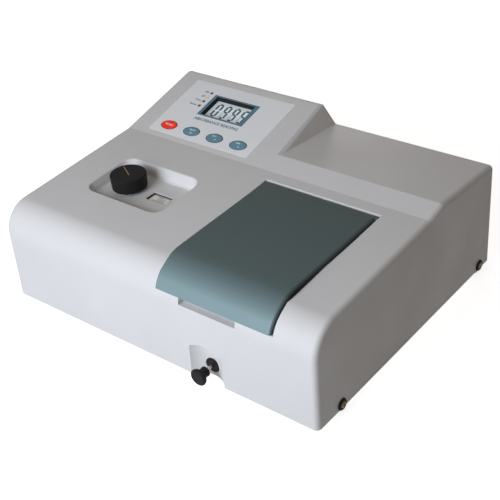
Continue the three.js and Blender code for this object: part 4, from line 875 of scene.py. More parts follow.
# Dark collar in the display window: the window's dark walls, widened on the left and top as painted shade.
COLLAR_SHADE = Finish(
    "collar_and_painted_shade", (0.2, 0.17, 0.15), (0.7, 0.85), shade=0.1, depth=5.0, specular=0.1
)
RUBBER = Finish(
    "black_rubber", (0.12, 0.115, 0.11), (0.8, 0.92), shade=0.2, grain=0.0015, depth=50.0, specular=0.3
)
STEEL = Finish(
    "ground_steel", (0.8, 0.76, 0.74), (0.22, 0.38), shade=0.12, grain=0.0007, metallic=1.0,
    kind=Grain.BRUSHED, stretch=(1.0, 0.05, 1.0),
)
ZINC = Finish(
    "plated_sheet", (0.72, 0.71, 0.68), (0.35, 0.5), shade=0.07, patch=0.02, grain=0.003, metallic=0.9
)
BRASS = Finish(
    "satin_brass", (0.5, 0.39, 0.27), (0.25, 0.42), shade=0.2, patch=0.004, grain=0.0006, metallic=1.0,
    kind=Grain.BRUSHED, stretch=(1.0, 1.0, 0.1),
)
# The film's faint glow is painted light; the film is no lamp.
FILM = Finish(
    "pale_panel_film", (0.96, 0.965, 0.97), (0.5, 0.6), shade=0.01, grain=0.0005, depth=8.0, glow=0.05
)
TEAL_PRINT = Finish("teal_print", (0.34, 0.52, 0.6), (0.5, 0.6), depth=5.0)
WHITE_PRINT = Finish("white_print", (0.97, 0.97, 0.97), (0.5, 0.6), shade=0.03, depth=5.0)
DARK_PRINT = Finish("dark_print", (0.07, 0.07, 0.075), (0.5, 0.6), shade=0.1, depth=5.0)
TEAL_KEY = Finish("teal_key", (0.396, 0.594, 0.671), (0.38, 0.5), shade=0.06, depth=10.0)
# The red key's glow is painted light; neither the key nor the rocker that shares it is a lamp.
RED_KEY = Finish("red_key", (0.98, 0.19, 0.06), (0.38, 0.5), depth=10.0, specular=0.3, glow=0.25)
# The display glass glows a little: painted light on the sunk, shaded glass, which is no lamp.
DISPLAY_GLASS = Finish(
    "grey_green_display", (0.9, 0.955, 0.97), (0.2, 0.3), shade=0.03, patch=0.01, grain=0.0004, depth=2.0,
    coat=0.3, glow=0.16,
)
DIGIT = Finish("dark_digit", (0.25, 0.28, 0.32), (0.3, 0.4), shade=0.12, patch=0.004, depth=2.0)
IDLE_DIGIT = Finish("idle_digit", (0.86, 0.94, 1.0), (0.3, 0.4), patch=0.004, depth=2.0)
GOLD_LINE = Finish("gold_index_paint", (0.62, 0.5, 0.34), (0.5, 0.65), shade=0.2, patch=0.003, depth=10.0)
# The dial's glow is painted light in the shaded slot under the window; the dial is no lamp.
DIAL_FACE = Finish(
    "pale_dial", (0.95, 0.9, 0.82), (0.4, 0.55), shade=0.04, patch=0.01, depth=4.0, glow=0.3
)
CLEAR = Finish("clear_window", (0.97, 0.98, 0.98), (0.03, 0.06), shade=0.01, depth=1.0, clear=1.0)
CAST = Finish(
    "cast_light_metal", (0.66, 0.66, 0.67), (0.45, 0.62), shade=0.2, patch=0.01, grain=0.0012, depth=80.0,
    metallic=0.9,
)
MIRROR = Finish("mirror_glass", (0.92, 0.93, 0.95), (0.03, 0.06), shade=0.02, depth=1.0, metallic=1.0)
LAMP_GLASS = Finish("lamp_glass", (0.96, 0.96, 0.94), (0.04, 0.08), shade=0.02, depth=1.0, clear=0.6)
BOARD = Finish("lacquered_board", (0.16, 0.42, 0.24), (0.25, 0.4), shade=0.3, patch=0.006, coat=0.4)
LED_OFF = Finish("led_off", (0.36, 0.17, 0.13), (0.18, 0.28), shade=0.15, patch=0.002, depth=2.0)
LED_ON = Finish("led_on", (0.8, 0.82, 0.3), (0.2, 0.3), shade=0.06, patch=0.002, depth=2.0, glow=0.12)
IRON = Finish(
    "varnished_iron", (0.36, 0.3, 0.26), (0.35, 0.55), shade=0.3, patch=0.006, depth=50.0, metallic=0.4
)


# Finished pieces


@dataclass
class Piece:
    """A finished mesh with what it stands for and moves with."""

    name: str
    solid: Solid
    finish: Finish
    slot: str
    body: str = Body.INSTRUMENT.value
    replaces: str = ""

    def place(self) -> None:
        """Shade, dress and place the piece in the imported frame."""
        mesh = self.solid.shaded()
        mesh.name = self.name
        mesh.transform(FRAME_PLACE)
        mesh.materials.clear()
        mesh.materials.append(self.finish.material())
        item = scene_object(self.name, mesh)
        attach(item, self.body)
        if self.replaces:
            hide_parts(self.replaces)
        LOG.info("%s: %d faces on %s", self.name, len(mesh.polygons), self.body)


def refine(
    name: str, node: str, finish: Finish, slot: str, width: float, body: Body = Body.INSTRUMENT
) -> None:
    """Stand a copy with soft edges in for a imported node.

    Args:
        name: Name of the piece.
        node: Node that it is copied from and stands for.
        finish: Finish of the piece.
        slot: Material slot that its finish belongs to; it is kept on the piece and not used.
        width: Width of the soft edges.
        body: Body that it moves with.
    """
    Piece(name, Solid.from_node(node).softened(width), finish, slot, body.value, node).place()


def dress(finish: Finish, *nodes: str) -> None:
    """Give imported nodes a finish.

    Args:
        finish: Finish that they get.
        nodes: Names of the nodes.
    """
    for node in nodes:
        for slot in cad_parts[node].material_slots:
            slot.material = finish.material()
        LOG.info("%s: dressed in %s", node, finish.name)


# Cover


@dataclass
class CoverAssembly:
    """Moulded top cover: nose, deck, ramp, console, pocket, niche and openings."""

    nose_radius: float = 34.0
    side_radius: float = 6.0
    ramp_radius: float = 5.0
    console_rear_lean: float = 15.0
    console_rear_radius: float = 8.0
    ridge_run: float = 26.0
    ridge_radius: float = 2.0
    rear_deck: float = 122.0
    rear_edge_radius: float = 5.0
    console_edge: float = -1.5
    console_taper: float = 5.5
    wall_splay: float = 7.0
    console_edge_radius: float = 6.0
    pocket_aside: float = 21.0
    pocket_size: Pair = (110.0, 73.0)
    pocket_corner: float = 13.0
    pocket_draft: float = 3.0
    pocket_fillet: float = 4.0
    pocket_rim: float = 1.8
    pocket_rim_turn: float = 82.0
    sill: float = 96.0
    throat_wall: float = 3.0
    opening_rear: float = 177.0
    opening_front: float = 34.0
    scoop: Limits = (46.0, 117.0, 82.6, 13.0)
    scoop_backing: float = 4.0
    scoop_roundness: float = 0.36
    niche_chord: float = 43.0
    niche_depth: float = 10.5
    niche_crown: float = 42.0
    niche_drop: float = 6.5
    niche_backing: float = 3.0
    rod_flange: float = 8.65
    rod_barrel: float = 5.3
    screw_hole: float = 2.3
    screw_reach: float = 18.0
    rear_window: Pair = (110.0, 70.0)
    vents: int = 12
    vent_size: Pair = (3.0, 28.0)
    vent_pitch: float = 12.0
    vent_left: float = -178.0
    vent_bottom: float = 88.0
    display_slack: float = 0.5

    def ridge(self) -> Vector:
        """Return the place (y, z) of the ridge between the ramp and the rear deck."""
        rise = self.ridge_run * math.tan(SHELL.console_angle())
        return Vector((SHELL.ramp_start + self.ridge_run, SHELL.ramp_height + rise))

    def console_rear(self) -> Vector:
        """Return the place (y, z) of the console's upper rear edge, before rounding."""
        lean = self.console_rear_lean
        return Vector((SHELL.depth - lean, SHELL.console_height - lean * math.tan(SHELL.console_angle())))

    def block(self, inset: float) -> Solid:
        """Make the whole block of the cover, without its hollow.

        Args:
            inset: Distance by which its faces lie inside the cover's face.

        Returns:
            The block.
        """
        steps, nose_steps = (EDGE_STEPS, NOSE_STEPS) if inset == 0 else (2, EDGE_STEPS)
        low, high = (
            self.round_ended(
                [
                    (SHELL.depth, -2 * OVERRUN, 0.0),
                    (SHELL.depth, self.rear_deck, self.rear_edge_radius),
                    (*crest, radius),
                    (SHELL.ramp_start, SHELL.ramp_height, self.ramp_radius),
                    (SHELL.front_lean, SHELL.deck_front, self.nose_radius, nose_steps),
                    (0.0, 0.0, 0.0),
                    (0.0, -2 * OVERRUN, 0.0),
                ],
                inset,
                steps,
            )
            for crest, radius in (
                (self.ridge(), self.ridge_radius),
                (self.console_rear(), self.console_rear_radius),
            )
        )
        return low.add(self.trimmed_console(high, inset))

    def round_ended(self, corners: Sequence[Corner], inset: float, steps: int) -> Solid:
        """Sweep a profile along X and round off both ends.

        Args:
            corners: Corners (y, z, radius) of the profile.
            inset: Distance by which the form lies inside the cover's face.
            steps: Facets of each rounding.

        Returns:
            The swept form.
        """
        radius = max(self.side_radius - inset, self.side_radius * LEAST_SHARE)
        rings: list[Outline] = []
        places: list[float] = []
        for angle in stepped(math.pi / 2, steps):
            ring = rounded_outline(corners, inset + radius * (1 - math.cos(angle)), steps)
            reach = SHELL.half - inset - radius * (1 - math.sin(angle))
            rings = [ring, *rings, ring]
            places = [-reach, *places, reach]
        return loft(rings, places, along_x)

    def trimmed_console(self, high: Solid, inset: float) -> Solid:
        """Cut the console off at its sloping right wall and round the wall's upper edges.

        Args:
            high: Sweep of the console over the cover's full width.
            inset: Distance inside the cover's face.

        Returns:
            The console with its right wall.
        """
        ridge = self.ridge()
        rear_top = self.console_rear()
        foot = Vector((self.console_edge + self.console_taper, *ridge))
        top = Vector((self.console_edge, *rear_top))
        rear_foot = Vector((self.console_edge + self.wall_splay, SHELL.depth, self.rear_deck))
        up = (top - foot).normalized()
        out = (rear_foot - foot).cross(up).normalized()
        inner = foot - out * inset
        reach = 2 * (SHELL.half + SHELL.depth)
        matrix = Matrix((out, up, out.cross(up))).transposed().to_4x4()
        beyond = box(0, reach, -reach, reach, -reach, reach).moved(Matrix.Translation(inner) @ matrix)
        angle = SHELL.console_angle()
        face = Vector((0, -math.sin(angle), math.cos(angle)))
        rear = Vector((0, rear_top.y - self.rear_deck, self.console_rear_lean)).normalized()
        radius = max(self.console_edge_radius - inset, self.console_edge_radius * LEAST_SHARE)
        high.cut(beyond)
        for normal, on_second, direction in ((face, foot, up), (rear, top, rear.cross(out))):
            lack = (on_second - normal * inset - inner).dot(normal)
            in_plane = normal - out * normal.dot(out)
            point = inner + in_plane * (lack / in_plane.dot(normal))
            high.cut(self.edge_rounder(point, direction, normal, out, radius))
        return high

    @staticmethod
    def edge_rounder(point: Vector, along: Vector, first: Vector, second: Vector, radius: float) -> Solid:
        """Make the tool that rounds the straight edge between two flat faces.

        Args:
            point: A point on the edge.
            along: Direction of the edge.
            first: Outward normal of one face.
            second: Outward normal of the other face.
            radius: Radius of the rounding.

        Returns:
            The cutting tool.
        """
        reach = 2 * (SHELL.half + SHELL.depth)
        along = along.normalized()
        e1 = first.normalized()
        e2 = along.cross(e1).normalized()
        a = Vector((1, 0))
        b = Vector((second.dot(e1), second.dot(e2))).normalized()
        centre = (a + b) * (-radius / (1 + a.dot(b)))
        turn = math.atan2(a.x * b.y - a.y * b.x, a.dot(b))
        spokes = [Vector((math.cos(angle), math.sin(angle))) for angle in stepped(turn, POCKET_STEPS)]
        shape = [spoke * radius + centre for spoke in spokes]
        shape += [shape[-1] + b * radius, (a + b) * radius, shape[0] + a * radius]
        return loft([shape, shape], [-reach, reach], lambda u, v, at: point + e1 * u + e2 * v + along * at)

    def pocket(self, grow: float, floor: float, rim: float) -> Solid:
        """Make the knob pocket's form, sheared so that its rim follows the sloping deck.

        Args:
            grow: Distance by which its outline grows.
            floor: Height of its floor.
            rim: Radius of the rounding at its rim.

        Returns:
            The form, open towards the top.
        """
        x, y = SHELL.axis_x + self.pocket_aside, SHELL.axis_y
        half_x, half_y = (size / 2 for size in self.pocket_size)
        outline = rectangle(x - half_x, x + half_x, y - half_y, y + half_y)
        corners = [(*corner, self.pocket_corner) for corner in outline]
        top = SHELL.deck_height(y)
        levels = []
        for angle in stepped(math.pi / 2, POCKET_STEPS):
            dip = self.pocket_draft + self.pocket_fillet * (1 - math.sin(angle))
            levels.append((floor + self.pocket_fillet * (1 - math.cos(angle)), dip))
        for angle in stepped(math.radians(self.pocket_rim_turn), POCKET_STEPS if rim > 0 else 1):
            levels.append((top - rim + rim * math.sin(angle), -rim * (1 - math.cos(angle))))
        levels.append((top + 2 * OVERRUN, levels[-1][1]))

        def sheared(u: float, v: float, at: float) -> Vector:
            """Place a point, tilted with the deck in proportion to its height."""
            share = min((at - floor) / (top - floor), 1.0)
            return Vector((u, v, at + share * SHELL.deck_slope() * (v - y)))

        rings = [rounded_outline(corners, dip - grow, POCKET_STEPS) for _, dip in levels]
        return loft(rings, [height for height, _ in levels], sheared)

    def niche(self, grow: float) -> Solid:
        """Make the pull rod's niche: an upright cylinder under an arched crown.

        Args:
            grow: Distance by which the form grows.

        Returns:
            The form.
        """
        depth, crown, sides = self.niche_depth, self.niche_crown, 3 * ROUND
        half = self.niche_chord / 2
        radius, crown_radius = ((half**2 + rise**2) / (2 * rise) for rise in (depth, self.niche_drop))
        upright = bar(Axis.Z, -OVERRUN, crown + OVERRUN, SHELL.rod_x, depth - radius, radius + grow, sides)
        arch_z = crown - crown_radius
        arch = bar(Axis.Y, -crown_radius, 2 * depth, SHELL.rod_x, arch_z, crown_radius + grow, sides)
        return upright.common(arch)

    def scoop_tool(self) -> Solid:
        """Make the finger scoop under the lid's nose: a flat floor that turns up to a back wall.

        Returns:
            The cutting tool.
        """
        left, right, bottom, depth = self.scoop
        rise = self.sill - bottom
        outline = [Vector((-OVERRUN, self.sill + OVERRUN)), Vector((-OVERRUN, bottom))]
        for angle in stepped(math.pi / 2, 2 * POCKET_STEPS):
            along = max(math.sin(angle), 0.0) ** self.scoop_roundness
            up = 1 - max(math.cos(angle), 0.0) ** self.scoop_roundness
            outline.append(Vector((depth * along, bottom + rise * up)))
        outline.append(Vector((depth, self.sill + OVERRUN)))
        return loft([outline, outline], [left, right], along_x)

    def throat(self, lid: "LidAssembly") -> Solid:
        """Make the frame of the compartment opening with the hinge lugs.

        Args:
            lid: Lid that lies on the frame.

        Returns:
            The frame, trimmed to the cover.
        """
        rear = lid.hinge_y() + 2 * lid.barrel
        left = lid.left + lid.lap - self.throat_wall
        right = lid.right - lid.lap + self.throat_wall
        top = SHELL.console_height
        block = box(left, right, 0, rear, self.sill - self.throat_wall, top)
        low = lid.hinge_z() - 2 * lid.barrel
        lugs = box(lid.left - lid.lug, lid.right + lid.lug, self.opening_rear, rear, low, top)
        return block.add(lugs).common(self.block(SHELL.wall / 3))

    def opening(self, lid: "LidAssembly") -> Solid:
        """Make the tool that opens the compartment's throat and the hinge pin's hole.

        Args:
            lid: Lid over the opening.

        Returns:
            The cutting tool.
        """
        left, right = lid.left + lid.lap, lid.right - lid.lap
        top = SHELL.console_height
        low = self.sill - self.throat_wall - OVERRUN
        shaft = box(left, right, self.opening_front, self.opening_rear, low, top)
        mouth = box(left, right, -OVERRUN, self.opening_rear, self.sill, top)
        return shaft.add(mouth, lid.hinge_bar(lid.lug + OVERRUN, lid.pin + SEAT))

    def rear_tools(self) -> list[Solid]:
        """Make the rear window and the air slots above it.

        Returns:
            The cutting tools.
        """
        start, end = SHELL.depth - SHELL.wall - OVERRUN, SHELL.depth + OVERRUN
        half, height = self.rear_window
        tools = [box(-half, half, start, end, -OVERRUN, height)]
        width, tall = self.vent_size
        for index in range(self.vents):
            left = self.vent_left + index * self.vent_pitch
            tools.append(box(left, left + width, start, end, self.vent_bottom, self.vent_bottom + tall))
        return tools

    def screw_tools(self) -> list[Solid]:
        """Make the holes of the side screws.

        Returns:
            The cutting tools.
        """
        inner, outer = SHELL.half - self.screw_reach, SHELL.half + OVERRUN
        return [
            bar(Axis.X, start, end, y, SHELL.screw_height, self.screw_hole, SMALL_ROUND)
            for y in SHELL.screw_places
            for start, end in ((inner, outer), (-outer, -inner))
        ]

    def drive_tools(self, drive: "DriveAssembly") -> list[Solid]:
        """Make the window slot and the bush's hole in the pocket's floor.

        Args:
            drive: Drive under the floor.

        Returns:
            The cutting tools.
        """
        floor = SHELL.pocket_floor()
        (left, right), half = drive.window_ends(), drive.window_width / 2
        y, ledge = SHELL.axis_y, drive.window_ledge
        shelf = floor - drive.window_sink - drive.window_plate - SEAT
        low, high = floor - 2 * SHELL.wall, floor + OVERRUN
        return [
            chamfer_tool(Vector((left, y + half, floor)), right - left, drive.window_chamfer),
            box(left, right, y - half, y + half, shelf, high),
            box(left + ledge, right - ledge, y - half + ledge, y + half - ledge, low, floor),
            bar(Axis.Z, low, high, SHELL.axis_x, y, drive.bush_radius + SEAT, SMALL_ROUND),
        ]

    def console_tools(self, console: "ConsoleAssembly") -> list[Solid]:
        """Make the openings of the console's face.

        Args:
            console: Pieces on the face.

        Returns:
            The cutting tools, in the face's own directions.
        """
        low, high = -SHELL.wall - OVERRUN, OVERRUN
        bed = box(*grown(console.film_limits, SEAT), console.proud - console.thickness - SEAT, high)
        window = box(*grown(console.window, self.display_slack), low, high)
        return [bed, window, *console.holes(low, high)]

    def build(self, lid: "LidAssembly", console: "ConsoleAssembly", drive: "DriveAssembly") -> None:
        """Build and place the cover.

        Args:
            lid: Lid that the opening is cut for.
            console: Console pieces that the face is opened for.
            drive: Wavelength drive that the pocket is opened for.
        """
        floor = SHELL.pocket_floor()
        body = self.block(0).cut(self.block(SHELL.wall))
        left, right, bottom, depth = self.scoop
        backing = self.scoop_backing
        backings = (
            self.pocket(SHELL.wall, floor - SHELL.wall, 0),
            self.niche(self.niche_backing),
            box(left - backing, right + backing, 0, depth + backing, bottom - backing, self.sill),
        )
        tub, niche_back, scoop_back = (form.common(self.block(SHELL.wall / 3)) for form in backings)
        posts = [console.on_face(post) for post in console.posts()]
        body.add(tub, niche_back, self.throat(lid), scoop_back, *posts)
        reach = SHELL.half + SHELL.depth
        body.cut(box(-reach, reach, -reach, reach, -reach, 0))
        body.cut(self.opening(lid), lid.seat_tool(), self.scoop_tool(), self.niche(0))
        barrel_end = self.niche_depth + self.niche_backing + OVERRUN
        for end, radius, sides in (
            (self.niche_depth, self.rod_flange, ROUND),
            (barrel_end, self.rod_barrel, SMALL_ROUND),
        ):
            body.cut(bar(Axis.Y, 0, end, SHELL.rod_x, SHELL.rod_z, radius, sides))
        body.cut(self.pocket(0, floor, self.pocket_rim), *self.drive_tools(drive))
        face_tools = [console.on_face(tool) for tool in self.console_tools(console)]
        body.cut(*face_tools, *self.rear_tools(), *self.screw_tools())
        Piece("cover_shell", body, PALE_SHELL, "cover_shell", replaces="top_cover").place()


# Lid


@dataclass
class LidAssembly:
    """Smoky lid over the sample compartment, hinged at its rear edge."""

    left: float = 16.0
    right: float = 161.0
    rear: float = 187.5
    bend: Pair = (38.0, 118.9)
    bend_radius: float = 15.0
    bend_skip: int = 3
    nose_radius: float = 52.0
    nose: Pair = (2.0, 91.0)
    thickness: float = 3.0
    left_edge: float = 1.2
    right_edge: float = 6.0
    rear_chamfer: float = 0.9
    barrel: float = 3.0
    pin: float = 1.25
    lap: float = 6.0
    lug: float = 8.0
    slide: float = 0.5

    def hinge_y(self) -> float:
        """Return the hinge's place to the rear."""
        return self.rear - self.barrel

    def hinge_z(self) -> float:
        """Return the hinge's height."""
        return SHELL.deck_height(self.rear) - self.barrel

    def hinge_bar(self, reach: float, radius: float, sides: int = SMALL_ROUND) -> Solid:
        """Make a bar on the hinge's axis.

        Args:
            reach: Length by which the bar runs past both ends of the lid.
            radius: Radius of the bar.
            sides: Facets round it.

        Returns:
            The bar.
        """
        left, right = self.left - reach, self.right + reach
        return bar(Axis.X, left, right, self.hinge_y(), self.hinge_z(), radius, sides)

    def nose_arc(self, offset: float) -> Outline:
        """Draw the arc of the lid's nose.

        Args:
            offset: Distance by which it moves inwards.

        Returns:
            The points (y, z) of the arc, from the bend down.
        """
        bend, nose = Vector(self.bend), Vector(self.nose)
        chord = nose - bend
        half = chord.length / 2
        inwards = Vector((-chord.y, chord.x)).normalized()
        if inwards.y > 0:
            inwards.negate()
        centre = (bend + nose) / 2 + inwards * math.sqrt(self.nose_radius**2 - half**2)
        start, end = (math.atan2(tip.y - centre.y, tip.x - centre.x) for tip in (bend, nose))
        angles = [start + angle for angle in stepped(end - start, NOSE_STEPS)]
        radius = self.nose_radius - offset
        return [centre + Vector((math.cos(angle), math.sin(angle))) * radius for angle in angles]

    def outline(self, offset: float) -> Outline:
        """Draw the closed outline of the space under the lid's face.

        Args:
            offset: Distance by which it moves inwards.

        Returns:
            The points (y, z) of the outline.
        """
        arc = self.nose_arc(offset)
        bend = Vector(self.bend)
        hinge = Vector((self.hinge_y(), self.hinge_z() + self.barrel))
        slope = (hinge.y - bend.y) / (hinge.x - bend.x)

        def on_top(y: float) -> Vector:
            """Return the point of the flat part at a place y."""
            return Vector((y, bend.y + slope * (y - bend.x) - offset))

        start, corner, end = on_top(bend.x + self.bend_radius / 2), on_top(arc[0].x), arc[self.bend_skip]
        points = [Vector((hinge.x, self.nose[1] - 3 * OVERRUN)), on_top(hinge.x)]
        for t in stepped(1.0, POCKET_STEPS):
            points.append(start * (1 - t) ** 2 + corner * 2 * t * (1 - t) + end * t**2)
        points += arc[self.bend_skip + 1 :]
        tip, before = points[-1], points[-2]
        points.append(tip + (tip - before).normalized() * OVERRUN)
        return points

    def block(self, offset: float, grow: float, left_edge: float = 0, right_edge: float = 0) -> Solid:
        """Sweep the lid's outline along X and round its long edges.

        Args:
            offset: Distance by which the outline lies inside the lid's face.
            grow: Length by which the block runs past both ends of the lid.
            left_edge: Radius of the rounded left edge, or zero.
            right_edge: Radius of the rounded right edge, or zero.

        Returns:
            The block.
        """
        sections: list[tuple[float, Outline]] = []
        for end, inwards, radius in ((self.left - grow, 1, left_edge), (self.right + grow, -1, right_edge)):
            for angle in stepped(math.pi / 2, EDGE_STEPS)[0 if radius > 0 else -1 :]:
                ring = self.outline(offset + radius * (1 - math.sin(angle)))
                sections.append((end + inwards * radius * (1 - math.cos(angle)), ring))
        sections.sort(key=lambda section: section[0])
        return loft([ring for _, ring in sections], [place for place, _ in sections], along_x)

    def seat_tool(self) -> Solid:
        """Make the space that the lid needs in the cover, with the hinge trough.

        Returns:
            The cutting tool.
        """
        left, right = self.left - self.slide, self.right + self.slide
        top = SHELL.console_height
        under = self.block(self.thickness + self.slide, self.slide + OVERRUN)
        above = box(left, right, -OVERRUN, self.hinge_y(), self.nose[1] - self.slide, top).cut(under)
        radius = self.barrel + 2 * SEAT
        rear = self.hinge_y() + radius
        edge = chamfer_tool(Vector((left, rear, SHELL.deck_height(rear))), right - left, self.rear_chamfer)
        trough = box(left, right, self.hinge_y(), rear, self.hinge_z(), top)
        return above.add(self.hinge_bar(self.slide, radius, ROUND), trough, edge)

    def build(self, cover: CoverAssembly) -> None:
        """Build and place the lid.

        Args:
            cover: Cover that the lid's skirts clear.
        """
        block = self.block(0, 0, self.left_edge, self.right_edge)
        plate = block.copy().cut(self.block(self.thickness, OVERRUN))
        skirts = block.cut(self.block(self.thickness, -self.thickness), cover.block(-self.slide))
        reach = 2 * SHELL.half
        below = box(-reach, reach, -reach, reach, -reach, self.nose[1])
        body = plate.add(skirts, self.hinge_bar(0, self.barrel))
        body.cut(below, self.hinge_bar(OVERRUN, self.pin + SEAT))
        Piece("smoky_lid", body, SMOKY, "smoky_lid", Body.LID.value, "compartment_lid").place()
        dress(STEEL, "hinge_pin")


# Wavelength drive


@dataclass
class DriveAssembly:
    """Wavelength knob with its index line, dial, window and the drive under it."""

    radius: float = 20.8
    height: float = 16.5
    rise: float = 8.5
    edge: float = 1.6
    rim_share: float = 0.8
    rim_drop: float = 0.05
    line: Pair = (22.0, 1.4)
    line_sink: float = 0.25
    line_gap: float = 0.025
    line_angle: float = 150.0
    bush_radius: float = 6.0
    shaft_radius: float = 3.0
    shaft_bore: float = 9.3
    window_offset: float = 30.0
    window_length: float = 28.0
    window_width: float = 15.0
    window_ledge: float = 1.5
    window_plate: float = 1.5
    window_sink: float = 0.5
    window_chamfer: float = 0.9
    pane: float = 0.4
    # Widths of the dark liner in the window slot, left, right, lower and upper; it is painted shade.
    shade_liner: Limits = (1.4, 0.2, 0.2, 0.5)
    hairline: float = 0.5
    hairline_gap: float = 0.03
    print_height: float = 0.1
    dial_drop: float = 1.3
    ticks: int = 61
    tick_outer: float = 50.0
    tick_size: Triple = (13.0, 1.5, 0.2)
    long_share: float = 1.3
    long_every: int = 5
    dial_arc: float = 300.0
    first_number: int = 300
    number_step: int = 50
    numbers: int = 16
    number_radius: float = 54.5
    number_height: float = 2.6

    def window_ends(self) -> Pair:
        """Return the left and right ends of the window slot."""
        left = SHELL.axis_x + self.window_offset
        return left, left + self.window_length

    def axis(self, z: float, degrees: float) -> Matrix:
        """Return the matrix that puts a turned piece on the drive's axis at a height and an angle."""
        place = Matrix.Translation((SHELL.axis_x, SHELL.axis_y, z))
        return place @ Matrix.Rotation(math.radians(degrees), 4, "Z")

    def knob(self) -> Solid:
        """Turn the knob with its bore and the shallow groove of the index line.

        Returns:
            The knob, its bottom at zero.
        """
        skirt = self.radius - self.edge / 2
        corners = (
            (CLOSED, 0.0, 0.0),
            (skirt, 0.0, self.edge / 2),
            (skirt + self.edge / 4, self.height / 2, 1.0),
            (self.radius, self.height, self.edge),
            (self.radius * self.rim_share, self.height - self.rim_drop, 1.0),
            (CLOSED, self.height - self.line_sink, 0.0),
        )
        bore = bar(Axis.Z, -OVERRUN, self.shaft_bore, 0, 0, self.shaft_radius + SEAT, SMALL_ROUND)
        groove = self.line_form(-2 * self.line_sink, OVERRUN)
        return turned(smooth_profile(corners), 2 * ROUND).cut(bore, groove)

    def line_form(self, low: float, high: float) -> Solid:
        """Make a bar in the place of the index line.

        Args:
            low: Its bottom over the knob's top.
            high: Its top over the knob's top.

        Returns:
            The bar.
        """
        length, width = self.line
        start = self.radius - 2 * self.edge - length
        return box(start, start + length, -width / 2, width / 2, self.height + low, self.height + high)

    def graduations(self) -> Solid:
        """Build the dial's graduation marks with Geometry Nodes.

        Returns:
            The marks round the origin.
        """
        length, width, thickness = self.tick_size
        inputs = {
            "Count": ("Int", self.ticks),
            "Outer Radius": ("Float", self.tick_outer),
            "Arc": ("Float", math.radians(self.dial_arc)),
            "Length": ("Float", length),
            "Width": ("Float", width),
            "Thickness": ("Float", thickness),
            "Long Share": ("Float", self.long_share),
            "Every": ("Int", self.long_every),
            "Print": ("Material", DARK_PRINT.material()),
        }
        tree = bpy.data.node_groups.new("graduations", "GeometryNodeTree")
        tree.is_modifier = True
        for label, (kind, _) in inputs.items():
            tree.interface.new_socket(label, in_out="INPUT", socket_type=f"NodeSocket{kind}")
        tree.interface.new_socket("Marks", in_out="OUTPUT", socket_type="NodeSocketGeometry")
        wiring = Wiring(tree)
        given = wiring.node("NodeGroupInput").outputs
        offset = {"Count": given["Count"], "Offset": (0, 0, 0)}
        points = wiring.node("GeometryNodeMeshLine", offset).outputs["Mesh"]
        index = wiring.node("GeometryNodeInputIndex").outputs[0]
        last = wiring.math("SUBTRACT", given["Count"], 1)
        turn = wiring.times(wiring.math("DIVIDE", index, last), given["Arc"])
        waves = [wiring.math(wave, turn) for wave in ("COSINE", "SINE")]
        x, y = (wiring.times(given["Outer Radius"], wave) for wave in waves)
        long = wiring.math("LESS_THAN", wiring.math("MODULO", index, given["Every"]), 0.5)
        growth = wiring.times(long, wiring.math("SUBTRACT", given["Long Share"], 1))
        size = wiring.vector(given["Length"], given["Width"], given["Thickness"])
        block = wiring.node("GeometryNodeMeshCube", {"Size": size}).outputs["Mesh"]
        inwards = wiring.vector(wiring.times(given["Length"], -0.5))
        shifted = wiring.node("GeometryNodeTransform", {"Geometry": block, "Translation": inwards})
        moved = wiring.node("GeometryNodeSetPosition", {"Geometry": points, "Position": wiring.vector(x, y)})
        spread = {
            "Points": moved.outputs["Geometry"],
            "Instance": shifted.outputs["Geometry"],
            "Rotation": wiring.vector(z=turn),
            "Scale": wiring.vector(wiring.math("ADD", 1.0, growth), 1.0, 1.0),
        }
        marks = wiring.node("GeometryNodeInstanceOnPoints", spread)
        real = wiring.node("GeometryNodeRealizeInstances", {0: marks.outputs[0]})
        painted = {"Geometry": real.outputs[0], "Material": given["Print"]}
        result = wiring.node("GeometryNodeSetMaterial", painted).outputs[0]
        wiring.node("NodeGroupOutput", {"Marks": result})
        item = scene_object("grown", bpy.data.meshes.new("grown"))
        modifier = item.modifiers.new("grow", "NODES")
        modifier.node_group = tree
        for socket in tree.interface.items_tree:
            if socket.in_out == "INPUT":
                modifier[socket.identifier] = inputs[socket.name][1]
        return Solid(evaluated_mesh(item))

    def scale_numbers(self) -> Solid:
        """Make the numbers round the dial.

        Returns:
            The numbers round the origin.
        """
        numbers = []
        for index, turn in enumerate(stepped(math.radians(self.dial_arc), self.numbers - 1)):
            number = str(self.first_number + self.number_step * index)
            text = lettering(number, self.number_height, self.tick_size[2])
            spot = Matrix.Rotation(turn, 4, "Z") @ Matrix.Translation((self.number_radius, 0, 0))
            numbers.append(text.moved(spot @ Matrix.Rotation(-math.pi / 2, 4, "Z")))
        return merged(numbers)

    def build(self) -> None:
        """Build and place the drive's pieces."""
        place = self.axis(SHELL.deck_height(SHELL.axis_y) + self.rise - self.height, self.line_angle)
        face = self.axis(SHELL.pocket_floor() - SHELL.wall - self.dial_drop, -self.dial_arc / 2)
        drive = Body.DRIVE.value
        knob = self.knob().moved(place)
        Piece("turning_knob", knob, SATIN_BLACK, "black_plastic", drive, "wavelength_knob").place()
        bottom = self.line_gap - 2 * self.line_sink
        line = self.line_form(bottom, bottom + self.line_sink).moved(place)
        Piece("index_line", line, GOLD_LINE, "black_plastic", drive).place()
        Piece("dial_graduations", self.graduations().moved(face), DARK_PRINT, "dial_metal", drive).place()
        Piece("dial_numbers", self.scale_numbers().moved(face), DARK_PRINT, "dial_metal", drive).place()
        corner, far = local_box("dial_window")
        limits = (corner.x, far.x, corner.y, far.y)
        bottom, top = corner.z, corner.z + self.pane
        pane = box(*limits, bottom, top)
        Piece("dial_pane", pane, CLEAR, "clear_window", replaces="dial_window").place()
        low, high = top + self.print_height, SHELL.pocket_floor() - 2 * self.print_height
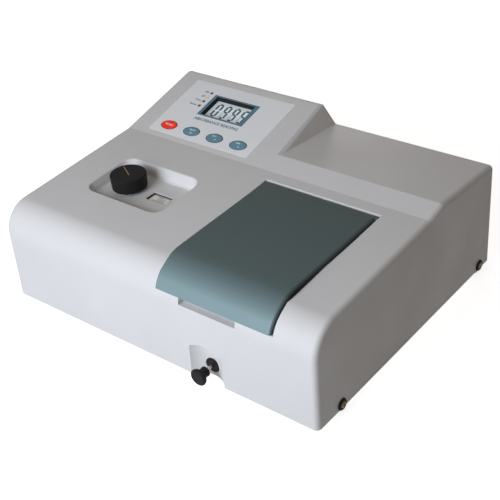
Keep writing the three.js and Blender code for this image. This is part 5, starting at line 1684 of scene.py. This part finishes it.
        # Dark liner round the slot's walls: painted shade.
        shade_liner = flat_ring(rectangle(*limits), rectangle(*within(limits, self.shade_liner)), low, high)
        Piece("window_shade_liner", shade_liner, WINDOW_SHADE, "matt_black").place()
        middle, half = (corner.x + far.x) / 2, self.hairline / 2
        low, high = bottom - self.print_height, bottom - self.hairline_gap
        line = box(middle - half, middle + half, corner.y, far.y, low, high)
        Piece("dial_hairline", line, DARK_PRINT, "clear_window").place()
        dress(DIAL_FACE, "wavelength_dial")
        dress(STEEL, "knob_shaft", "follower_arm")
        dress(BRASS, "shaft_bush", "wavelength_cam")


# Console


class Segment(Enum):
    """Bars of a seven-part digit, as (column, row, upright)."""

    TOP = (0.5, 2.0, False)
    MIDDLE = (0.5, 1.0, False)
    BOTTOM = (0.5, 0.0, False)
    UPPER_LEFT = (0.0, 1.5, True)
    UPPER_RIGHT = (1.0, 1.5, True)
    LOWER_LEFT = (0.0, 0.5, True)
    LOWER_RIGHT = (1.0, 0.5, True)


# The bars that each figure leaves out.
DARK_BARS: dict[str, tuple[Segment, ...]] = {
    " ": tuple(Segment),
    ",": tuple(segment for segment in Segment if segment is not Segment.LOWER_LEFT),
    "0": (Segment.MIDDLE,),
    "5": (Segment.UPPER_RIGHT, Segment.LOWER_LEFT),
    "9": (Segment.LOWER_LEFT,),
}


@dataclass
class ConsoleAssembly:
    """Console film with its display, keys and lamps, measured up the slope of the face.

    Limits are left, right, lower and upper. A mark on a key is its text, its shift across and up
    from the key's middle and the height of its letters; an arrow is its shift and its size, which
    is negative where it points down.
    """

    film_limits: Limits = (-182.0, -31.0, 8.0, 109.0)
    film_corner: float = 1.5
    thickness: float = 0.8
    proud: float = 0.16
    window: Limits = (-136.6, -76.4, 54.2, 89.8)
    sink: float = 5.2
    border: float = 3.0
    glass_edge: float = 0.5
    board_drop: float = 13.6
    frame_outer: Limits = (-139.5, -70.6, 51.9, 91.0)
    frame_inner: Limits = (-135.0, -76.5, 54.0, 88.6)
    print_height: float = 0.06
    # Walls of the collar, left, right, lower and upper; the thick left and top ones are painted shade.
    shade_walls: Limits = (0.9, 0.2, 0.15, 1.3)
    reading: str = "0995"
    idle: str = " ,,,"
    digit_left: float = -127.4
    digit_bottom: float = 61.0
    digit_pitch: float = 13.2
    digit_size: Pair = (6.2, 21.2)
    digit_stroke: float = 2.7
    word_line: Triple = (-104.4, 45.3, 4.3)
    bold_share: float = 0.03
    word: str = "ABSORBANCE READING"
    key_places: tuple[float, ...] = (-159.4, -124.1, -88.8, -53.5)
    key_rise: float = 22.6
    key_size: Pair = (22.0, 14.0)
    rim: float = 0.5
    # Width of the dark outline round each key on the film, painted shade at the key's edge.
    key_shade_outline: float = 0.3
    red_key: int = 1
    key_profile: tuple[Pair, ...] = (
        (1.0, 0.0), (1.0, 0.3), (0.985, 0.5), (0.95, 0.62), (0.9, 0.67), (0.75, 0.74), (0.5, 0.8),
        (0.25, 0.83), (0.04, 0.84),
    )
    key_marks: tuple[tuple[tuple[str, float, float, float], ...], ...] = (
        (("MODE", 0.0, 0.0, 3.0),),
        (("PRINT", 0.0, 2.0, 2.4), ("CE", 1.0, -3.0, 2.4)),
        (("0%T", -2.0, 2.4, 2.4),),
        (("100%", -2.0, 2.4, 2.4),),
    )
    key_arrows: tuple[Corner, ...] = ((), (), (2.5, -2.6, -1.7), (2.5, -2.6, 1.7))
    mark_share: float = 0.3
    flange: float = 1.0
    travel: float = 0.5
    stem_radius: float = 3.0
    lit_led: int = 2
    led_x: float = -146.8
    led_rises: tuple[float, ...] = (92.0, 83.4, 75.4, 66.6)
    led_radius: float = 2.0
    led_flange: float = 0.8
    led_edge: float = 0.2
    led_crown: float = 1.8
    led_words: tuple[str, ...] = ("Abs", "%T", "Conc", "Factor")
    led_word_height: float = 3.0
    post_inset: float = 7.0
    post_radius: float = 3.0

    def on_face(self, solid: Solid) -> Solid:
        """Put a solid made in the face's own directions onto the console."""
        return solid.moved(SHELL.console_matrix())

    def key_oval(self, x: float, grow: float, share: float = 1.0) -> Outline:
        """Return a key's oval at a place, as a share of its size and grown by an amount."""
        a, b = (size / 2 * share + grow for size in self.key_size)
        return ellipse(a, b, x, self.key_rise)

    def holes(self, low: float, high: float) -> list[Solid]:
        """Make the tools of the holes for the keys and the lamps.

        Args:
            low: Lower end of the tools.
            high: Upper end.

        Returns:
            The cutting tools.
        """
        led = self.led_radius + SEAT
        keys = [prism(self.key_oval(x, self.rim), low, high) for x in self.key_places]
        return keys + [bar(Axis.Z, low, high, self.led_x, rise, led, SMALL_ROUND) for rise in self.led_rises]

    def posts(self) -> list[Solid]:
        """Make the posts that hold the display board under the console.

        Returns:
            The four posts.
        """
        left, right, bottom, top = grown(self.film_limits, -self.post_inset)
        low, high = -self.board_drop + SEAT, -SHELL.wall / 2
        return [
            bar(Axis.Z, low, high, x, rise, self.post_radius, SMALL_ROUND)
            for x in (left, right)
            for rise in (bottom, top)
        ]

    def film(self) -> Solid:
        """Make the film with its rounded corners, window and holes.

        Returns:
            The film.
        """
        corners = [(*place, self.film_corner) for place in rectangle(*self.film_limits)]
        soft = self.proud / 2
        levels = [(self.proud - self.thickness, 0.0), (self.proud - soft, 0.0), (self.proud, soft)]
        rings = [rounded_outline(corners, dip, EDGE_STEPS) for _, dip in levels]
        sheet = loft(rings, [height for height, _ in levels], along_z)
        return sheet.cut(box(*self.frame_inner, -OVERRUN, OVERRUN), *self.holes(-OVERRUN, OVERRUN))

    def printed_frame(self) -> Solid:
        """Make the printed frame round the display."""
        low, high = self.proud - self.print_height / 2, self.proud + self.print_height
        return flat_ring(rectangle(*self.frame_outer), rectangle(*self.frame_inner), low, high)

    def bezel(self) -> Solid:
        """Make the black collar between the film and the display glass; its walls are thicker on the left
        and top, where it is painted shade inside the window.

        Returns:
            The collar.
        """
        slack = self.print_height
        outer = grown(self.frame_inner, -slack)
        inner = within(outer, self.shade_walls)
        return flat_ring(rectangle(*outer), rectangle(*inner), -self.sink + slack, self.proud + slack)

    def glass(self) -> Solid:
        """Make the display glass with softened edges."""
        block = box(*grown(self.window, self.border), -self.board_drop + SEAT, -self.sink)
        return block.softened(self.glass_edge)

    def digits(self, figures: str, rise: float) -> Solid:
        """Make a row of seven-part digits.

        Args:
            figures: Figures of the row, from the left.
            rise: Height of the bars over the glass.

        Returns:
            All bars of the row in one mesh.
        """
        width, tall = self.digit_size
        half = self.digit_stroke / 2
        gap = half / 4
        bars = []
        for place, figure in enumerate(figures):
            for segment in Segment:
                if segment in DARK_BARS[figure]:
                    continue
                column, row, upright = segment.value
                reach = (tall / 4 if upright else width / 2) - gap
                left = self.digit_left + place * self.digit_pitch + column * width
                middle = Vector((left, self.digit_bottom + row * tall / 2))
                ring = [(-reach, 0), (half - reach, -half), (reach - half, -half), (reach, 0)]
                ring += [(reach - half, half), (half - reach, half)]
                points = [middle + Vector((-v, u) if upright else (u, v)) for u, v in ring]
                bars.append(prism(points, -self.sink - self.print_height, -self.sink + rise))
        return merged(bars)

    def key(self, x: float) -> Solid:
        """Make a crowned oval key with its retaining flange and stem.

        Args:
            x: Place of the key across the face.

        Returns:
            The key.
        """
        top = -SHELL.wall - SEAT
        low = top - self.flange
        rings = [self.key_oval(x, 0.0, share) for share, _ in self.key_profile]
        cap = loft(rings, [low, *[rise for _, rise in self.key_profile[1:]]], along_z)
        wide = prism(self.key_oval(x, self.rim + self.flange), low, top)
        stem_low = -self.board_drop + SEAT + self.travel
        stem = bar(Axis.Z, stem_low, top, x, self.key_rise, self.stem_radius, SMALL_ROUND)
        return cap.add(wide, stem)

    def surrounds(self) -> Solid:
        """Make the dark rings in the gaps round the keys and the dark outlines beside them, both painted
        shade at the keys' edges.

        Returns:
            All rings in one mesh.
        """
        outer, inner, top = self.rim - self.print_height, self.print_height, self.proud
        painted_outline = self.rim + self.key_shade_outline
        bands = ((outer, inner, -SHELL.wall, top), (painted_outline, self.rim, top, top + self.print_height))
        rings = []
        for x in self.key_places:
            for wide, narrow, low, high in bands:
                rings.append(flat_ring(self.key_oval(x, wide), self.key_oval(x, narrow), low, high))
        return merged(rings)

    def led(self, rise: float) -> Solid:
        """Turn one indicator lamp with its collar and round head.

        Args:
            rise: Place of the lamp up the slope.

        Returns:
            The lamp.
        """
        radius, low, top = self.led_radius, -self.board_drop + SEAT, self.proud + self.led_radius / 4
        corners = (
            (CLOSED, low, 0.0),
            (radius + self.led_flange, low, self.led_edge),
            (radius + self.led_flange, low + radius, self.led_edge),
            (radius, low + radius, 0.0),
            (radius, top, self.led_crown),
            (CLOSED, top, 0.0),
        )
        lamp = turned(smooth_profile(corners), SMALL_ROUND)
        return lamp.moved(Matrix.Translation((self.led_x, rise, 0)))

    def print_at(self, text: str, x: float, rise: float, height: float, level: float) -> Solid:
        """Write generic words at a place on the face.

        Args:
            text: Words to write.
            x: Middle of the words across the face.
            rise: Middle of the words up the slope.
            height: Height of a capital letter.
            level: Height of the print's middle over the face.

        Returns:
            The print, in the face's own directions.
        """
        words = lettering(text, height, self.print_height, height * self.bold_share)
        return words.moved(Matrix.Translation((x, rise, level)))

    def mark_level(self) -> float:
        """Work out how high a key's crowned top is at the share of its size where the marks stand.

        Returns:
            The height over the face.
        """
        return next(
            start + (end - start) * (high - self.mark_share) / (high - low)
            for (high, start), (low, end) in zip(self.key_profile, self.key_profile[1:])
            if low <= self.mark_share
        )

    def key_print(self, index: int) -> Solid:
        """Make the words and the arrow on a key.

        Args:
            index: Number of the key from the left, from zero.

        Returns:
            The print.
        """
        x, level = self.key_places[index], self.mark_level()
        parts = [
            self.print_at(text, x + aside, self.key_rise + up, height, level + self.print_height / 2)
            for text, aside, up, height in self.key_marks[index]
        ]
        if self.key_arrows[index]:
            aside, up, size = self.key_arrows[index]
            middle, base = x + aside, self.key_rise + up - size / 2
            half = abs(size)
            places = ((middle - half, base), (middle + half, base), (middle, base + size))
            parts.append(prism([Vector(place) for place in places], level, level + self.print_height))
        return merged(parts)

    def panel_words(self) -> Solid:
        """Make the printed words on the film.

        Returns:
            All words in one mesh.
        """
        level = self.proud + self.print_height / 2
        words = [self.print_at(self.word, *self.word_line, level)]
        for text, rise in zip(self.led_words, self.led_rises):
            word = self.print_at(text, 0, rise, self.led_word_height, level)
            right = max(vertex.co.x for vertex in word.mesh.vertices)
            words.append(word.moved(Matrix.Translation((self.led_x - 2 * self.led_radius - right, 0, 0))))
        return merged(words)

    def build(self) -> None:
        """Build and place the console's pieces."""
        lift = self.print_height
        for name, solid, finish, slot, node in (
            ("panel_film", self.film(), FILM, "panel_film", "membrane_panel"),
            ("display_frame_print", self.printed_frame(), TEAL_PRINT, "panel_film", ""),
            ("display_collar_shade", self.bezel(), COLLAR_SHADE, "display_glass", ""),
            ("display_glass", self.glass(), DISPLAY_GLASS, "display_glass", "display_module"),
            ("idle_segments", self.digits(self.idle, lift / 2), IDLE_DIGIT, "display_glass", ""),
            ("reading", self.digits(self.reading, lift), DIGIT, "display_glass", ""),
            # Dark rings round the keys: painted shade.
            ("key_shade_rings", self.surrounds(), MATT_BLACK, "panel_film", ""),
            ("panel_words", self.panel_words(), TEAL_PRINT, "panel_film", ""),
        ):
            Piece(name, self.on_face(solid), finish, slot, replaces=node).place()
        dress(BOARD, "display_board", "main_board")
        for number, x in enumerate(self.key_places, 1):
            finish, slot = (RED_KEY, "key_red") if number == self.red_key else (TEAL_KEY, "key_teal")
            key, mark = self.on_face(self.key(x)), self.on_face(self.key_print(number - 1))
            body = f"button_{number}"
            Piece(f"oval_key_{number}", key, finish, slot, body, f"key_{number}").place()
            Piece(f"key_mark_{number}", mark, WHITE_PRINT, slot, body).place()
        for number, rise in enumerate(self.led_rises, 1):
            finish, slot = (LED_ON, "led_lit") if number == self.lit_led else (LED_OFF, "led_dark")
            lamp = self.on_face(self.led(rise))
            Piece(f"indicator_{number}", lamp, finish, slot, replaces=f"status_led_{number}").place()


# Pull rod, fixings and base


@dataclass
class PullRodAssembly:
    """Pull rod of the cell carriage with its knob and escutcheon."""

    rod_radius: float = 2.25
    knob_radius: float = 9.65
    knob_length: float = 14.0
    knob_front: float = -15.0
    rod_in_knob: float = 9.0
    plate_radius: float = 8.35
    plate_thickness: float = 1.6
    plate_draft: float = 0.2
    plate_edge: float = 1.12
    barrel_radius: float = 5.0
    barrel_length: float = 6.0
    barrel_edge: float = 0.4
    knob_shares: tuple[Corner, ...] = (
        (CLOSED, 0.02, 0.0), (0.8, 0.0, 0.1), (1.0, 0.1, 0.09), (0.94, 0.3, 0.1), (0.6, 0.52, 0.12),
        (0.55, 0.78, 0.1), (0.6, 0.9, 0.06), (0.56, 1.0, 0.03), (CLOSED, 1.0, 0.0),
    )

    def facing_front(self, y: float) -> Matrix:
        """Return the matrix that lays a turned piece along Y with its start at a place y."""
        return Matrix.Translation((SHELL.rod_x, y, SHELL.rod_z)) @ Matrix.Rotation(-math.pi / 2, 4, "X")

    def knob(self) -> Solid:
        """Turn the flared pull knob and bore it for the rod.

        Returns:
            The knob, its outer face at zero.
        """
        radius, length = self.knob_radius, self.knob_length
        corners = [(out * radius, along * length, soft * radius) for out, along, soft in self.knob_shares]
        low, high = length - self.rod_in_knob - SEAT, length + OVERRUN
        bore = bar(Axis.Z, low, high, 0, 0, self.rod_radius + SEAT, SMALL_ROUND)
        return turned(smooth_profile(corners)).cut(bore)

    def escutcheon(self) -> Solid:
        """Turn the escutcheon with its guide barrel.

        Returns:
            The escutcheon, its outer face at zero.
        """
        bore, radius, thick = self.rod_radius + SEAT, self.plate_radius, self.plate_thickness
        end = thick + self.barrel_length
        corners = (
            (bore, 0.0, 0.0),
            (radius - self.plate_draft, 0.0, self.plate_edge),
            (radius, thick, 0.0),
            (self.barrel_radius, thick, 0.0),
            (self.barrel_radius, end, self.barrel_edge),
            (bore, end, 0.0),
        )
        return turned(smooth_profile(corners, ring=True))

    def build(self) -> None:
        """Build and place the pull rod's pieces."""
        slider = Body.SLIDER.value
        knob = self.knob().moved(self.facing_front(self.knob_front))
        Piece("flared_pull_knob", knob, SATIN_BLACK, "black_plastic", slider, "pull_knob").place()
        plate = self.escutcheon().moved(self.facing_front(local_box("rod_escutcheon")[0].y))
        Piece("rod_guide_plate", plate, SATIN_BLACK, "black_plastic", replaces="rod_escutcheon").place()
        low, high = (corner.y for corner in local_box("pull_rod"))
        rod = bar(Axis.Y, low, high, SHELL.rod_x, SHELL.rod_z, self.rod_radius, SMALL_ROUND)
        Piece("carriage_pull_rod", rod.softened(SEAT), STEEL, "steel", slider, "pull_rod").place()


@dataclass
class FixingsAssembly:
    """Side screws in their cup washers."""

    washer_radius: float = 6.6
    washer_height: float = 1.8
    washer_edge: float = 0.15
    washer_bend: float = 0.4
    washer_lip: float = 0.5
    screw_radius: float = 2.0
    screw_length: float = 14.0
    head_radius: float = 3.4
    head_height: float = 1.8
    head_edge: float = 0.1
    head_dome: float = 1.5
    cross: Pair = (4.4, 1.2)
    cross_turn: float = 38.0

    def washer(self) -> Solid:
        """Turn the cup washer.

        Returns:
            The washer, its flat face at zero and its cup outwards.
        """
        bore, cup, tall = self.screw_radius + SEAT, self.head_radius + SEAT, self.washer_height
        corners = (
            (bore, 0.0, 0.0),
            (self.washer_radius, 0.0, self.washer_edge),
            (self.washer_radius, tall / 3, self.washer_bend),
            (self.washer_radius - tall / 2, tall, self.washer_lip),
            (cup, tall, self.washer_edge),
            (cup, tall / 3, self.head_edge),
            (bore, tall / 3, 0.0),
        )
        return turned(smooth_profile(corners, ring=True))

    def screw(self) -> Solid:
        """Turn the domed screw and cut its cross.

        Returns:
            The screw, its head's seat at zero.
        """
        head, tall, radius = self.head_radius, self.head_height, self.screw_radius
        corners = (
            (CLOSED, -self.screw_length, 0.0),
            (radius, radius / 2 - self.screw_length, 0.0),
            (radius, 0.0, 0.0),
            (head, 0.0, self.head_edge),
            (head, tall, self.head_dome),
            (CLOSED, tall, 0.0),
        )
        long, wide = (size / 2 for size in self.cross)
        low, high = tall / 3, tall + OVERRUN
        arms = [box(-x, x, -y, y, low, high) for x, y in ((long, wide), (wide, long))]
        return turned(smooth_profile(corners), SMALL_ROUND).cut(*arms)

    def build(self) -> None:
        """Build and place the four washers and screws."""
        for side, side_name in ((-1, "left"), (1, "right")):
            for y, end_name in zip(SHELL.screw_places, ("front", "rear")):
                turn = Matrix.Rotation(side * math.pi / 2, 4, "Y")
                spin = Matrix.Rotation(math.radians(self.cross_turn + y), 4, "Z")
                for first, kind, form, finish, slot, stand in (
                    ("cup", "washer", self.washer(), SATIN_BLACK, "black_plastic", 0.0),
                    ("cover", "screw", self.screw().moved(spin), BRASS, "brass", self.screw_length),
                ):
                    name = f"{kind}_{end_name}_{side_name}"
                    node = f"{first}_{name}"
                    inner = local_box(node)[0 if side > 0 else 1].x
                    place = Matrix.Translation((inner + side * stand, y, SHELL.screw_height)) @ turn
                    Piece(name, form.moved(place), finish, slot, replaces=node).place()


@dataclass
class BaseAssembly:
    """Steel tray, and rubber feet with a dished underside."""

    tray_edge: float = 0.3
    foot_top: float = 10.4
    foot_bottom: float = 9.2
    foot_height: float = 12.0
    foot_edge: float = 1.5
    foot_round: float = 1.0
    foot_dish: float = 1.2
    dish_shares: Pair = (0.5, 0.6)
    dish_edge: float = 0.6
    seat_edge: float = 0.3

    def foot(self) -> Solid:
        """Turn one rubber foot.

        Returns:
            The foot, its underside at zero.
        """
        bottom, top, height = self.foot_bottom, self.foot_top, self.foot_height
        corners = (
            (CLOSED, self.foot_dish, 0.0),
            (bottom * self.dish_shares[0], self.foot_dish, self.foot_round),
            (bottom * self.dish_shares[1], 0.0, self.dish_edge),
            (bottom, 0.0, self.foot_edge),
            (top, height - self.foot_edge, self.foot_round),
            (top, height, self.seat_edge),
            (CLOSED, height, 0.0),
        )
        return turned(smooth_profile(corners))

    def build(self) -> None:
        """Build and place the feet and the tray."""
        for place in ("front_left", "front_right", "rear_left", "rear_right"):
            low, high = local_box(f"foot_{place}")
            foot = self.foot().moved(Matrix.Translation((*((low + high) / 2).xy, low.z)))
            Piece(f"rubber_foot_{place}", foot, RUBBER, "foot_rubber", replaces=f"foot_{place}").place()
        refine("steel_tray", "base_chassis", ZINC, "zinc_sheet", self.tray_edge)


# Inner works and rear


@dataclass
class InnerWorks:
    """Pieces under the cover: compartment, cell rack, optics, lamp and transformer."""

    soft_edge: float = 0.4

    def build(self) -> None:
        """Refine the pieces seen through the opened lid and dress the others."""
        refine("compartment_box", "sample_well", MATT_BLACK, "matt_black", self.soft_edge)
        refine("cell_rack", "cell_carriage", SATIN_BLACK, "black_plastic", self.soft_edge, Body.SLIDER)
        dress(STEEL, "guide_rod_left", "guide_rod_right")
        dress(CAST, "grating_table", "monochromator_housing", "monochromator_lid")
        dress(MIRROR, "diffraction_grating", "collimating_mirror", "folding_mirror")
        dress(MATT_BLACK, "entrance_slit", "exit_slit", "detector_housing")
        dress(ZINC, "lamp_housing")
        dress(LAMP_GLASS, "halogen_lamp")
        dress(CLEAR, "condenser_lens")
        dress(IRON, "transformer")


@dataclass
class RearAssembly:
    """Rear panel with its mains inlet and switch."""

    soft_edge: float = 0.5

    def build(self) -> None:
        """Refine and place the rear pieces."""
        refine("rear_sheet", "rear_panel", ZINC, "zinc_sheet", self.soft_edge / 2)
        refine("mains_inlet", "power_inlet", SATIN_BLACK, "black_plastic", self.soft_edge)
        refine("switch_frame", "switch_bezel", SATIN_BLACK, "black_plastic", self.soft_edge)
        refine("rocker_key", "switch_rocker", RED_KEY, "key_red", self.soft_edge, Body.SWITCH)


# Studio


@dataclass
class Studio:
    """Floor, world, lamps and camera of the photograph."""

    azimuth: float = 41.03
    elevation: float = 33.33
    roll: float = -5.285
    distance: float = 1129.7
    target: Triple = (16.13, 150.0, 52.1)
    lens: float = 73.86
    sensor: float = 36.0
    clip_start: float = 0.05
    floor_size: float = 60.0
    ambient: float = 0.155
    ambient_tint: Colour = (1.13, 1.0, 0.88)
    sky_low: float = 0.12
    sky_band: Pair = (0.25, 0.85)
    floor_seen: float = 0.86
    floor_given: float = 0.3
    floor_glow: float = 0.8
    lamp_distance: float = 1.25
    # Name, direction, light, width and tint of each lamp, as lamp() takes them.
    lamps: tuple[tuple[str, Triple, float, float, Colour], ...] = (
        ("key_lamp", (-0.05, -0.87, 0.38), 0.845, 0.9, (0.84, 0.9, 1.0)),
        ("back_lamp", (-0.55, 0.8, 0.05), 0.26, 0.6, (1.0, 0.97, 0.93)),
    )

    def camera(self) -> None:
        """Make the photograph's camera."""
        a, e, r = (math.radians(value) for value in (self.azimuth, self.elevation, self.roll))
        forward = -Vector((math.sin(a) * math.cos(e), -math.cos(a) * math.cos(e), math.sin(e)))
        across = forward.cross(Vector((0, 0, 1))).normalized()
        upright = across.cross(forward)
        right = across * math.cos(r) + upright * math.sin(r)
        up = upright * math.cos(r) - across * math.sin(r)
        data = bpy.data.cameras.new("camera")
        data.lens = self.lens
        data.sensor_width = self.sensor
        data.clip_start = self.clip_start
        camera = scene_object("camera", data)
        place = FRAME_PLACE @ Vector(self.target) - forward * self.distance * MM
        turn = Matrix((right, up, -forward)).transposed().to_4x4()
        camera.matrix_world = Matrix.Translation(place) @ turn
        bpy.context.scene.camera = camera

    def world(self) -> None:
        """Make the even surroundings, white where they are seen."""
        world = bpy.data.worlds.new("studio")
        world.use_nodes = True
        wiring = Wiring(world.node_tree)
        path = wiring.node("ShaderNodeLightPath").outputs
        height = wiring.split(wiring.coordinates("Generated"), "Z")
        sky = wiring.ranged(height, *self.sky_band, self.sky_low, 1.0)
        clear = wiring.math("MAXIMUM", path["Is Camera Ray"], path["Is Transmission Ray"])
        level = wiring.math("MAXIMUM", clear, wiring.times(path["Is Glossy Ray"], sky))
        seen = wiring.math("MAXIMUM", clear, path["Is Glossy Ray"])
        ambient = (*(value * self.ambient for value in self.ambient_tint), 1.0)
        background = wiring.find("ShaderNodeBackground")
        wiring.fill(background, {"Color": wiring.blended(seen, ambient, level)})
        bpy.context.scene.world = world

    def floor(self) -> None:
        """Make the pale floor, which keeps the object's shadow."""
        half = self.floor_size / 2
        mesh = bpy.data.meshes.new("studio_floor")
        corners = [(-half, -half, 0), (half, -half, 0), (half, half, 0), (-half, half, 0)]
        mesh.from_pydata(corners, [], [(0, 1, 2, 3)])
        material = bpy.data.materials.new("pale_floor")
        material.use_nodes = True
        wiring = Wiring(material.node_tree)
        path = wiring.node("ShaderNodeLightPath").outputs
        mirrored = wiring.math("MAXIMUM", path["Is Glossy Ray"], path["Is Transmission Ray"])
        seen = wiring.math("MAXIMUM", path["Is Camera Ray"], mirrored)
        given = {
            "Specular IOR Level": 0.0,
            "Roughness": 1.0,
            "Base Color": wiring.ranged(seen, 0.0, 1.0, self.floor_given, self.floor_seen),
            "Emission Color": (1.0, 1.0, 1.0, 1.0),
            "Emission Strength": wiring.times(seen, self.floor_glow),
        }
        wiring.fill(wiring.find("ShaderNodeBsdfPrincipled"), given)
        mesh.materials.append(material)
        scene_object("studio_floor", mesh)

    def lamp(self, name: str, direction: Triple, level: float, size: float, tint: Colour) -> None:
        """Add a round soft lamp that points at the middle of the object.

        Args:
            name: Name of the lamp.
            direction: Direction from the object to the lamp.
            level: Light on a surface that faces the lamp, as a share of plain white.
            size: Width of the lamp in metres.
            tint: Colour of the light.
        """
        data = bpy.data.lights.new(name, "AREA")
        data.shape = "DISK"
        data.size = size
        data.color = tint
        data.energy = level * (math.pi * self.lamp_distance) ** 2
        towards = Vector(direction).normalized()
        place = Matrix.Translation((CAD_BOX[0] + CAD_BOX[1]) / 2 + towards * self.lamp_distance)
        turn = towards.to_track_quat("Z", "Y").to_matrix().to_4x4()
        scene_object(name, data).matrix_world = place @ turn

    def build(self) -> None:
        """Build the studio."""
        self.camera()
        self.world()
        self.floor()
        for values in self.lamps:
            self.lamp(*values)
        bpy.context.scene.view_settings.view_transform = "Standard"
        LOG.info("studio: camera, world, floor and two lamps")


def main() -> None:
    """Build the instrument's assemblies and the studio in order."""
    logging.basicConfig(level=logging.INFO, format="%(message)s")
    lid, console, drive, cover = LidAssembly(), ConsoleAssembly(), DriveAssembly(), CoverAssembly()
    cover.build(lid, console, drive)
    lid.build(cover)
    outside = (drive, console, PullRodAssembly(), FixingsAssembly(), BaseAssembly())
    for assembly in (*outside, InnerWorks(), RearAssembly(), Studio()):
        assembly.build()


if __name__ == "__main__":
    main()
